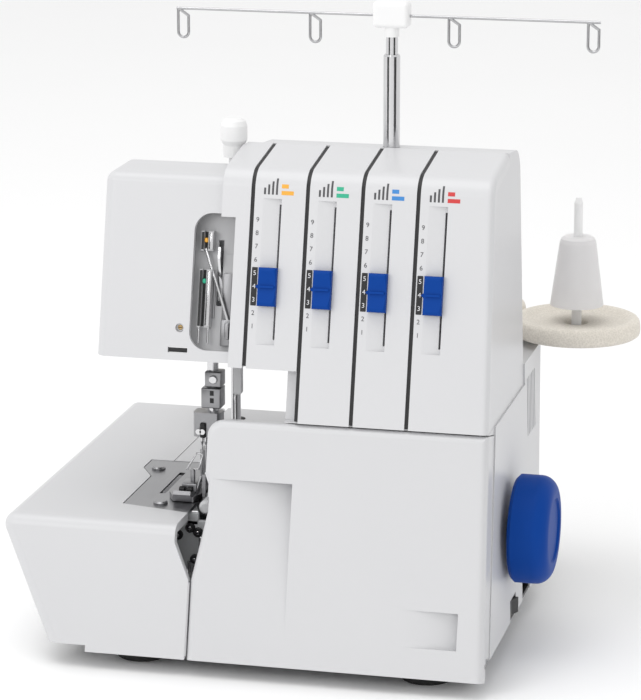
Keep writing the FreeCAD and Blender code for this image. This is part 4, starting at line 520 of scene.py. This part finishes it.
def tension_scales():
    """Figures 1 to 9 beside each slider, with a black band behind the middle three."""
    for i in range(STRIPS):
        groove = FIRST_GROOVE_X + STRIP_PITCH * i
        band_x = groove + BAND_OFFSET
        plain = bmesh.new()
        knocked_out = bmesh.new()
        for number in range(1, SCALE_TOP + 1):
            rise = SLIDER_RISE + (number - SCALE_MIDDLE) * SCALE_STEP
            if abs(number - SCALE_MIDDLE) > 1:
                place = on_front(groove + FIGURE_OFFSET, rise, INK_OUT)
                figure(plain, str(number), FIGURE_HEIGHT, place)
            else:
                figure(knocked_out, str(number), FIGURE_HEIGHT, on_front(band_x, rise, 2 * INK_OUT))
        band = bmesh.new()
        flat_mark(band, BAND_WIDTH, BAND_TALL, BAND_CORNER, on_front(band_x, SLIDER_RISE, INK_OUT / 2))
        piece(f"scale_figures_{i + 1}", plain, "dark_figures", "body")
        piece(f"scale_band_{i + 1}", band, "black_band", "body")
        piece(f"scale_middle_figures_{i + 1}", knocked_out, "white_figures", "body")


# The strips bend over into the top: where the leaning front and the top would meet, the radius of the bend,
# the ridge (y, z) where the top ends at the back, and the rise where the bend starts.
BEND_HEIGHT = 269.0
BEND_RADIUS = 13.0
BEND_STEPS = 10
RIDGE = Vector((-22.0, 276.0))
FLAT_TOP = 261.7
INK_STEPS = 6


def front_profile(depth, low):
    """Points (y, z) at a depth under the strips, up the front, round the bend and back to the ridge."""
    bend = Vector((FRONT_FOOT.y + (BEND_HEIGHT - FRONT_FOOT.z) * math.tan(LEAN), BEND_HEIGHT))
    rise = Vector((math.sin(LEAN), math.cos(LEAN)))
    back = (RIDGE - bend).normalized()
    into_front = Vector((rise.y, -rise.x))
    into_top = Vector((back.y, -back.x))
    half_turn = rise.angle(back) / 2
    inward = (into_front + into_top).normalized()
    centre = bend + inward * (BEND_RADIUS / math.cos(half_turn))
    radius = BEND_RADIUS - depth
    foot = Vector((FRONT_FOOT.y + (low - FRONT_FOOT.z) * math.tan(LEAN), low)) + into_front * depth
    points = [foot]
    for step in range(BEND_STEPS + 1):
        outward = -into_front.slerp(into_top, step / BEND_STEPS)
        points.append(centre + outward * radius)
    points.append(RIDGE + into_top * depth)
    return points


def skin_point(rise, out):
    """Point (y, z) over a strip's skin, on the leaning front or round the bend above it."""
    past = max(0.0, rise - FLAT_TOP) / BEND_RADIUS
    inside = FRONT_FOOT + FRONT_RISE * min(rise, FLAT_TOP) - FRONT_OUT * BEND_RADIUS
    away = FRONT_OUT * math.cos(past) + FRONT_RISE * math.sin(past)
    over = inside + away * (BEND_RADIUS + out)
    return over.y, over.z


def skin_bar(form, x, width, low, high):
    """Adds one printed bar that follows the skin between two rises."""
    rises = [low + (high - low) * step / INK_STEPS for step in range(INK_STEPS + 1)]
    outline = [skin_point(rise, INK_OUT) for rise in rises]
    outline += [skin_point(rise, -INK_OUT) for rise in reversed(rises)]
    add_form(form, side_slab(outline, x - width / 2, width))


KEY_OFFSET = 6.6
KEY_LOW = 258.2
KEY_BARS = 4
KEY_BAR_PITCH = 2.2
KEY_BAR_WIDTH = 1.1
KEY_FIRST_BAR = 3.6
KEY_BAR_STEP = 1.8
KEY_COLOURS = ("amber_mark", "green_mark", "sky_mark", "red_mark")

# Across from the first bar, width, and lowest and highest rise above the key's foot.
KEY_COLOUR_BARS = ((12.6, 6.8, 0.0, 2.2), (11.1, 3.8, 3.6, 5.8))


def strip_marks():
    """A small generic key above each strip: a stepped row of bars beside two coloured bars."""
    for i in range(STRIPS):
        left = FIRST_GROOVE_X + STRIP_PITCH * i + KEY_OFFSET
        bars = bmesh.new()
        for step in range(KEY_BARS):
            top = KEY_LOW + KEY_FIRST_BAR + KEY_BAR_STEP * step
            skin_bar(bars, left + KEY_BAR_PITCH * step, KEY_BAR_WIDTH, KEY_LOW, top)
        coloured = bmesh.new()
        for across, width, low, high in KEY_COLOUR_BARS:
            skin_bar(coloured, left + across, width, KEY_LOW + low, KEY_LOW + high)
        piece(f"strip_bars_{i + 1}", bars, "dark_figures", "body")
        piece(f"strip_colour_{i + 1}", coloured, KEY_COLOURS[i], "body")


GROOVE_WIDTH = 2.0
GROOVE_FLOOR = 3.85
# Black fill of painted shade inside the thread grooves, from its top under the skin down to the groove's
# floor.
SHADE_FILL_TOP = 0.7
SHADE_FILL_CLEARANCE = 1.0
SEAM_HEIGHT = 138.0
ARM_UNDERSIDE = 165.6


def groove_liners():
    """Black fillings of painted shade in the four thread grooves, from the seam over the bend to the ridge.
    """
    for i in range(STRIPS):
        low = (ARM_UNDERSIDE if i == 0 else SEAM_HEIGHT) + SHADE_FILL_CLEARANCE
        outline = front_profile(SHADE_FILL_TOP, low) + front_profile(GROOVE_FLOOR, low)[::-1]
        left = FIRST_GROOVE_X + STRIP_PITCH * i - GROOVE_WIDTH / 2
        shade_fill = side_slab(outline, left, GROOVE_WIDTH)
        piece(f"groove_shade_{i + 1}", shade_fill, "black_band", "body")


END_PLATE_LEFT = -37.0
END_PLATE_THICK = 1.5
END_PLATE_DEPTH = 8.0
END_PLATE_LOW = 258.0

# Points (y, z) behind the ridge, down inside the arm's back and forward again under the head's top.
END_PLATE_BACK = (
    (-20.0, 274.5), (-4.0, 273.0), (2.0, 271.8), (5.2, 269.4), (8.2, 264.7),
    (8.6, 238.0), (-38.0, 238.0), (-38.0, END_PLATE_LOW),
)


def arm_end_plate():
    """Plate that closes the arm's left end above the head."""
    outline = [*front_profile(END_PLATE_DEPTH, END_PLATE_LOW), *END_PLATE_BACK]
    plate = side_slab(outline, END_PLATE_LEFT, END_PLATE_THICK)
    piece("arm_end_plate", plate, "white_shell", "body")


ARM_EDGE = {"centre": (-4.0, 260.25), "radius": 13.95, "thick": 1.8, "first": 24.0, "last": 59.0}
ARM_EDGE_LEFT = -36.9
ARM_EDGE_WIDTH = 137.0
REAR_EDGE = {"centre": (79.3, 112.0), "radius": 15.95, "thick": 1.5, "first": 42.0, "last": 63.0}
REAR_EDGE_LOW = 16.5
REAR_EDGE_TALL = 131.0
PANEL_LIP = ((-96.4, 137.2), (-80.9, 133.75), (-79.8, 137.9), (-96.4, 137.9))
PANEL_LIP_LEFT = -6.5
PANEL_LIP_WIDTH = 112.0


def shell_fillers():
    """Strips that close the rounded rear edges of the housings, and the lip between front cover and panel."""
    arm_edge = side_slab(curved_strip(**ARM_EDGE), ARM_EDGE_LEFT, ARM_EDGE_WIDTH)
    piece("arm_edge_strip", arm_edge, "white_shell", "body")
    rear_foot = Matrix.Translation((0.0, 0.0, REAR_EDGE_LOW))
    rear_edge = slab(curved_strip(**REAR_EDGE), REAR_EDGE_TALL, rear_foot)
    piece("rear_edge_strip", rear_edge, "white_shell", "body")
    lip = side_slab(PANEL_LIP, PANEL_LIP_LEFT, PANEL_LIP_WIDTH)
    piece("panel_lip", lip, "white_shell", "body")


# Lowest and highest point of each guide, the height of its dot and the dot's colour.
GUIDES = ((226.4, 236.1, 231.6, "amber_mark"), (185.8, 215.8, 209.9, "green_mark"))
GUIDE_LEFT = -60.2
GUIDE_OUT = -9.0
GUIDE_SLOT_X = -57.4
GUIDE_SLOT_OUT = -11.9
GUIDE_SLOT_WIDTH = 2.3
GUIDE_MARK_CORNER = 0.2
# A black strip on the guide's face beside its slot: painted shade that makes the dark slot look wider.
GUIDE_SHADE_STRIP_X = GUIDE_LEFT + 0.9
GUIDE_SHADE_STRIP_OUT = GUIDE_OUT + 0.03
GUIDE_SHADE_STRIP_WIDTH = 1.4
GUIDE_SHADE_STRIP_SHORTER = 0.4
GUIDE_DOT_SIZE = (2.2, 2.6, 2.6)
GUIDE_DOT_CORNER = 0.9
GUIDE_DOT_OUT = GUIDE_OUT - 1.2
GUIDE_PLATE_X = GUIDE_LEFT + 5.7
GUIDE_PLATE_OUT = GUIDE_OUT + 0.35
GUIDE_PLATE_WIDTH = 2.5
GUIDE_PLATE_THICK = 0.8
GUIDE_PLATE_CORNER = 0.25
GUIDE_PLATE_SHORTER = 0.6


def thread_guide_trim():
    """Black tablets of painted shade on each guide's slot floor and on the face beside the slot, a coloured
    threading dot and a bright side plate, for the guides in the head's window.
    """
    for i, (low, high, dot, colour) in enumerate(GUIDES):
        middle = (rise_at(low) + rise_at(high)) / 2
        tall = rise_at(high) - rise_at(low)
        # Black tablets on the slot's floor and on the face beside it: painted shade of the slot.
        slot_shade = bmesh.new()
        slot_place = on_front(GUIDE_SLOT_X, middle, GUIDE_SLOT_OUT)
        flat_mark(slot_shade, GUIDE_SLOT_WIDTH, tall, GUIDE_MARK_CORNER, slot_place)
        shade_strip_place = on_front(GUIDE_SHADE_STRIP_X, middle, GUIDE_SHADE_STRIP_OUT)
        flat_mark(slot_shade, GUIDE_SHADE_STRIP_WIDTH, tall - GUIDE_SHADE_STRIP_SHORTER, GUIDE_MARK_CORNER, shade_strip_place)
        piece(f"guide_slot_shade_{i + 1}", slot_shade, "black_band", "body")
        dot_row = (GUIDE_DOT_SIZE, GUIDE_DOT_CORNER, (GUIDE_SLOT_X, rise_at(dot), GUIDE_DOT_OUT))
        block_piece(f"guide_dot_{i + 1}", [dot_row], on_front, colour, "body")
        plate_size = (GUIDE_PLATE_WIDTH, tall - GUIDE_PLATE_SHORTER, GUIDE_PLATE_THICK)
        plate_row = (plate_size, GUIDE_PLATE_CORNER, (GUIDE_PLATE_X, middle, GUIDE_PLATE_OUT))
        block_piece(f"guide_plate_{i + 1}", [plate_row], on_front, "bright_steel", "body")


WINDOW_BACK = -14.0
WIRE_SLANT = math.radians(20.5)

# Rows of blocks, here and below: the size, the rounding of the edges and the spot on what carries the block.
WINDOW_BRACKET = (
    ((5.6, 14.6, 4.0), 0.7, (-44.4, 182.0, 1.9)),
    ((2.6, 9.0, 2.4), 0.5, (-43.2, 183.0, 4.6)),
)
WINDOW_WIRE = (((1.5, 42.0, 1.3), 0.3, (-50.6, 208.0, 3.2)),)
WINDOW_PRONGS = (
    ((1.0, 12.0, 1.6), 0.3, (-59.4, 181.6, 3.0)),
    ((1.0, 12.0, 1.6), 0.3, (-54.2, 181.6, 3.0)),
)
# A steel plate beside the lower guide: partly a real grey plate, partly painted shade that darkens the
# window's lower right.
WINDOW_SHADE_PLATE = (
    ((5.0, 26.0, 0.9), 0.3, (-45.2, 201.5, 0.4)),
    ((1.6, 24.0, 0.9), 0.3, (-52.6, 201.5, 0.4)),
)


def in_window(x, rise, out):
    """The matrix that lays a drawing in millimetres on the back of the head's window, in metres."""
    return on_front(x, rise, WINDOW_BACK + out)


def in_window_slanted(x, rise, out):
    """The same, turned to the slant of the long wire."""
    return in_window(x, rise, out) @ Matrix.Rotation(WIRE_SLANT, 4, "Z")


def window_levers():
    """Fixed bracket, slanted wire, two prongs and a dark steel plate in the lower part of the head's window;
    the plate is partly a real grey plate and partly painted shade of the window's lower right.
    """
    block_piece("window_bracket", WINDOW_BRACKET, in_window, "steel", "body")
    block_piece("window_wire", WINDOW_WIRE, in_window_slanted, "bright_steel", "body")
    block_piece("window_prongs", WINDOW_PRONGS, in_window, "bright_steel", "body")
    block_piece("window_shade_plate", WINDOW_SHADE_PLATE, in_window, "steel", "body")


SCREW_STEPS = 32
THREAD_CUTTER = (((10.6, 2.4, 2.0), 0.2, (-69.2, 171.4, -6.6)),)
HEAD_SCREW_PLACE = (-68.7, -81.8, 183.2)
HEAD_COLLAR = ((1.5, -4.0), (2.35, -4.0), (2.35, -0.3), (2.1, 0.0), (1.5, 0.0))
HEAD_SCREW = ((0.0, -4.0), (1.45, -4.0), (1.45, -0.3), (1.2, 0.0), (0.0, 0.1))
# A black bar on the screw's face: painted shade of its slot.
HEAD_SCREW_SLOT_SHADE = (((2.0, 0.3, 0.4), 0.1, (-68.7, -82.0, 183.2)),)


def head_trim():
    """Black thread cutter in its slot, and the brass screw with its collar in the face of the head, its slot
    a black bar of painted shade on the screw's face.
    """
    block_piece("thread_cutter", THREAD_CUTTER, on_front, "black_band", "body")
    facing = facing_front(*HEAD_SCREW_PLACE)
    collar = turned(HEAD_COLLAR, facing, SCREW_STEPS)
    piece("head_screw_collar", collar, "white_shell", "body")
    screw = turned(HEAD_SCREW, facing, SCREW_STEPS)
    piece("head_screw", screw, "bush_bronze", "body")
    block_piece("head_screw_slot_shade", HEAD_SCREW_SLOT_SHADE, upright, "black_band", "body")


NEEDLE_BAR_X = -63.2
NEEDLE_BAR_Y = -36.0
BAR_BLOCKS = (
    ((11.4, 10.4, 11.6), 0.7, (0.3, -0.8, 132.8)),
    ((9.6, 9.4, 8.8), 0.7, (1.4, -0.6, 143.6)),
)
# Black patches on the blocks' faces: painted shade of their holes.
BAR_BLOCK_HOLE_SHADES = (
    ((2.3, 0.5, 2.9), 0.2, (0.9, -5.9, 131.6)),
    ((2.3, 0.5, 2.9), 0.2, (0.9, -5.9, 135.9)),
)
BAR_SCREW_PLACE = (NEEDLE_BAR_X + 1.8, NEEDLE_BAR_Y - 5.2, 143.8)
BAR_SCREW = ((0.0, 0.0), (2.4, 0.0), (2.4, 1.3), (2.0, 1.7), (0.0, 1.7))
CLAMP_KNOB = (((3.4, 1.6, 8.6), 0.75, (-4.4, -6.2, 114.0)),)


def on_needle_bar(across, back, z):
    """The matrix that puts a drawing in millimetres beside the needle bar's axis, in metres."""
    return upright(NEEDLE_BAR_X + across, NEEDLE_BAR_Y + back, z)


def needle_bar_fittings():
    """Thread guide blocks clamped round the needle bar, with their screw, black patches of painted shade for
    their holes, and a black clamp knob.
    """
    carrier = "needle_carrier"
    block_piece("bar_blocks", BAR_BLOCKS, on_needle_bar, "steel", carrier)
    block_piece("bar_block_hole_shades", BAR_BLOCK_HOLE_SHADES, on_needle_bar, "black_band", carrier)
    screw = turned(BAR_SCREW, facing_front(*BAR_SCREW_PLACE), SCREW_STEPS)
    piece("bar_block_screw", screw, "bright_steel", carrier)
    block_piece("clamp_knob", CLAMP_KNOB, on_needle_bar, "black_band", carrier)


GAP_PLATE_FRONT = -79.65
GAP_PLATE = (
    ((19.0, 2.5, 47.0), 0.6, (-64.5, 1.25, 49.5)),
    ((7.0, 2.5, 7.2), 0.6, (-63.5, 1.25, 73.6)),
)
GAP_SCREWS = ((-64.6, 68.7), (-60.2, 66.4), (-71.6, 64.2), (-62.2, 50.7))
GAP_SCREW_HEAD = ((1.1, 0.0), (2.7, 0.0), (2.7, 1.5), (2.3, 2.0), (1.1, 2.0))
GAP_SCREW_STUD = ((0.0, 0.0), (1.05, 0.0), (1.05, 2.3), (0.8, 2.6), (0.0, 2.6))
STUD_STEPS = 24
GAP_RODS = (
    ((2.2, 2.4, 11.0), 0.7, (-58.6, -1.0, 58.8)),
    ((1.8, 2.4, 7.0), 0.6, (-65.6, -1.0, 46.0)),
    ((1.8, 2.4, 6.0), 0.6, (-62.6, -1.0, 43.6)),
)


def on_gap_plate(x, back, z):
    """The matrix that puts a drawing in millimetres behind the face of the gap's plate, in metres."""
    return upright(x, GAP_PLATE_FRONT + back, z)


def gap_bracket():
    """Zinc-plated bracket with its tab and screws, a rod and two prongs in the gap beside the front cover."""
    block_piece("gap_plate", GAP_PLATE, on_gap_plate, "zinc_plate", "body")
    heads = bmesh.new()
    studs = bmesh.new()
    for x, z in GAP_SCREWS:
        facing = facing_front(x, GAP_PLATE_FRONT, z)
        add_form(heads, turned(GAP_SCREW_HEAD, facing, SCREW_STEPS))
        add_form(studs, turned(GAP_SCREW_STUD, facing, STUD_STEPS))
    piece("gap_screw_heads", heads, "black_band", "body")
    piece("gap_screw_studs", studs, "bright_steel", "body")
    block_piece("gap_rods", GAP_RODS, on_gap_plate, "bright_steel", "body")


FOOT_LOOP_Y = -58.0
FOOT_LOOP = ((-72.6, 95.6), (-66.9, 105.2), (-63.2, 104.8), (-65.6, 96.1))
FOOT_LOOP_THICK = 0.9
FOOT_BLOCK = (
    ((9.0, 11.0, 5.2), 0.8, (-70.5, -56.0, 85.8)),
    ((2.4, 2.4, 9.0), 0.5, (-69.2, FOOT_LOOP_Y, 91.6)),
)
FOOT_ROLLER = ((0.0, -1.6), (1.3, -1.6), (1.6, -1.2), (1.6, 1.2), (1.3, 1.6), (0.0, 1.6))
FOOT_ROLLERS = ((-74.2, -62.4, 85.2), (-69.6, -62.4, 85.2))
ROLLER_STEPS = 24
FOOT_LEAF = ((-66.6, -60.4, 84.0), (-64.2, -59.0, 91.6))
FOOT_LEAF_THICK = 1.4


def presser_foot_fittings():
    """Raised block on the presser foot with its thread loop, two dark rollers and a bright spring leaf."""
    block_piece("foot_block", FOOT_BLOCK, upright, "steel", "presser")
    loop = bmesh.new()
    for i, (x, z) in enumerate(FOOT_LOOP):
        last_x, last_z = FOOT_LOOP[i - 1]
        wire_run(loop, (last_x, FOOT_LOOP_Y, last_z), (x, FOOT_LOOP_Y, z), FOOT_LOOP_THICK)
    piece("foot_thread_loop", loop, "bright_steel", "presser")
    rollers = bmesh.new()
    lying = Matrix.Rotation(QUARTER_TURN, 4, "Y")
    for spot in FOOT_ROLLERS:
        add_form(rollers, turned(FOOT_ROLLER, Matrix.Translation(spot) @ lying, ROLLER_STEPS))
    piece("foot_rollers", rollers, "black_band", "presser")
    leaf = bmesh.new()
    wire_run(leaf, *FOOT_LEAF, FOOT_LEAF_THICK)
    piece("foot_spring_leaf", leaf, "bright_steel", "presser")


BUFFER_PLACE = (-85.4, 105.0, 80.0)
BUFFER = ((0.0, -0.5), (3.4, -0.5), (3.4, 0.3), (2.9, 0.6), (0.0, 0.6))
BUFFER_STEPS = 48
EDGE_BEAD = (((0.9, 40.0, 2.6), 0.2, (-54.8, 25.6, -1.7)),)


def bed_buffer():
    """Black rubber buffer at the back of the bed."""
    buffer = turned(BUFFER, Matrix.Translation(BUFFER_PLACE), BUFFER_STEPS)
    piece("bed_buffer", buffer, "rubber_black", "body")


def cloth_edge_bead():
    """Moulded bead on the edge of the cloth plate that closes most of the seam beside the front cover."""
    block_piece("cloth_edge_bead", EDGE_BEAD, on_front, "white_shell", "cloth_table")


FLOOR_HALF = 4.0
FLOOR_SEGMENTS = 8


def pale_floor():
    """Pale floor with a slow change in its tone."""
    sweep = Finish("studio_floor")
    scuff = sweep.noise(scale=4.0)
    sweep.shade({
        "Base Color": sweep.colours(scuff, (0.96, 0.96, 0.96), (0.975, 0.975, 0.975)),
        "Roughness": 0.55 + scuff * 0.1,
    })
    floor = bmesh.new()
    bmesh.ops.create_grid(floor, x_segments=FLOOR_SEGMENTS, y_segments=FLOOR_SEGMENTS, size=FLOOR_HALF)
    new_object("studio_floor", floor, sweep.material)


# Places and sizes in metres, power in watts.
STUDIO_MIDDLE = Vector((0.0, -0.02, 0.16))
SOFT_LIGHTS = (("top_light", (-0.4, -0.4, 2.1), 1.6, 11.0), ("key_light", (-1.1, -1.8, 1.1), 1.0, 9.0))
LIGHT_ASPECT = 0.7
DARK_CARDS = (("left_card", (-0.75, -0.95, 0.35)), ("right_card", (0.95, -0.55, 0.35)))
CARD_WIDTH = 0.7
CARD_HEIGHT = 1.4
SURROUNDINGS = 0.9


def soft_light(name, spot, size, power):
    """A rectangular lamp that points to the middle of the studio."""
    lamp = bpy.data.lights.new(name, "AREA")
    lamp.shape = "RECTANGLE"
    lamp.size = size
    lamp.size_y = size * LIGHT_ASPECT
    lamp.energy = power
    made = bpy.data.objects.new(name, lamp)
    made.location = spot
    made.rotation_euler = (STUDIO_MIDDLE - Vector(spot)).to_track_quat("-Z", "Y").to_euler()
    bpy.context.scene.collection.objects.link(made)


def dark_card(name, spot):
    """A dark card beside the machine, seen only in mirroring surfaces, so that bright metal has contrast."""
    form = bmesh.new()
    stretch = Matrix.Diagonal((CARD_WIDTH, CARD_HEIGHT, 1.0, 1.0))
    facing = (STUDIO_MIDDLE - Vector(spot)).to_track_quat("Z", "Y").to_matrix().to_4x4()
    bmesh.ops.create_grid(form, x_segments=2, y_segments=2, size=0.5, matrix=stretch)
    bmesh.ops.transform(form, matrix=Matrix.Translation(spot) @ facing, verts=form.verts)
    made = new_object(name, form, FINISHES["rubber_black"])
    made.visible_camera = False
    made.visible_diffuse = False
    made.visible_shadow = False


def studio():
    """White surroundings with a broad light above, a soft key from the left front and two dark cards."""
    for light in SOFT_LIGHTS:
        soft_light(*light)
    for card in DARK_CARDS:
        dark_card(*card)
    world = bpy.data.worlds.new("white_surroundings")
    world.use_nodes = True
    backdrop = world.node_tree.nodes["Background"]
    backdrop.inputs["Color"].default_value = (1.0, 1.0, 1.0, 1.0)
    backdrop.inputs["Strength"].default_value = SURROUNDINGS
    bpy.context.scene.world = world
    bpy.context.scene.view_settings.view_transform = "Standard"


PHOTO_WIDTH = 641
PHOTO_HEIGHT = 700
FOCAL_PIXELS = 3200.0
VIEW_AZIMUTH = math.radians(13.5)
VIEW_ELEVATION = math.radians(14.3)
KNOWN_PIXEL = (490.0, 692.0)
KNOWN_POINT = Vector((0.1143, -0.131, 0.006))
KNOWN_DEPTH = 1.7
SENSOR_WIDTH = 36.0


def photo_camera():
    """A long-lens camera that sees the known point of the base at its place in a 641 by 700 picture."""
    forward = Vector((
        -math.sin(VIEW_AZIMUTH) * math.cos(VIEW_ELEVATION),
        math.cos(VIEW_AZIMUTH) * math.cos(VIEW_ELEVATION),
        -math.sin(VIEW_ELEVATION),
    ))
    right = Vector((math.cos(VIEW_AZIMUTH), math.sin(VIEW_AZIMUTH), 0.0))
    up = right.cross(forward)
    across = (KNOWN_PIXEL[0] - PHOTO_WIDTH / 2) / FOCAL_PIXELS * KNOWN_DEPTH
    down = (KNOWN_PIXEL[1] - PHOTO_HEIGHT / 2) / FOCAL_PIXELS * KNOWN_DEPTH
    lens = bpy.data.cameras.new("photo_camera")
    lens.sensor_width = SENSOR_WIDTH
    lens.lens = FOCAL_PIXELS / PHOTO_HEIGHT * SENSOR_WIDTH
    made = bpy.data.objects.new("photo_camera", lens)
    made.location = KNOWN_POINT - right * across + up * down - forward * KNOWN_DEPTH
    made.rotation_euler = Matrix((right, up, -forward)).transposed().to_euler()
    bpy.context.scene.collection.objects.link(made)
    bpy.context.scene.camera = made


dress_nodes()
spool_cushions()
tension_scales()
strip_marks()
groove_liners()
arm_end_plate()
shell_fillers()
thread_guide_trim()
window_levers()
head_trim()
needle_bar_fittings()
gap_bracket()
presser_foot_fittings()
bed_buffer()
cloth_edge_bead()
pale_floor()
studio()
photo_camera()

bpy.context.view_layer.update()
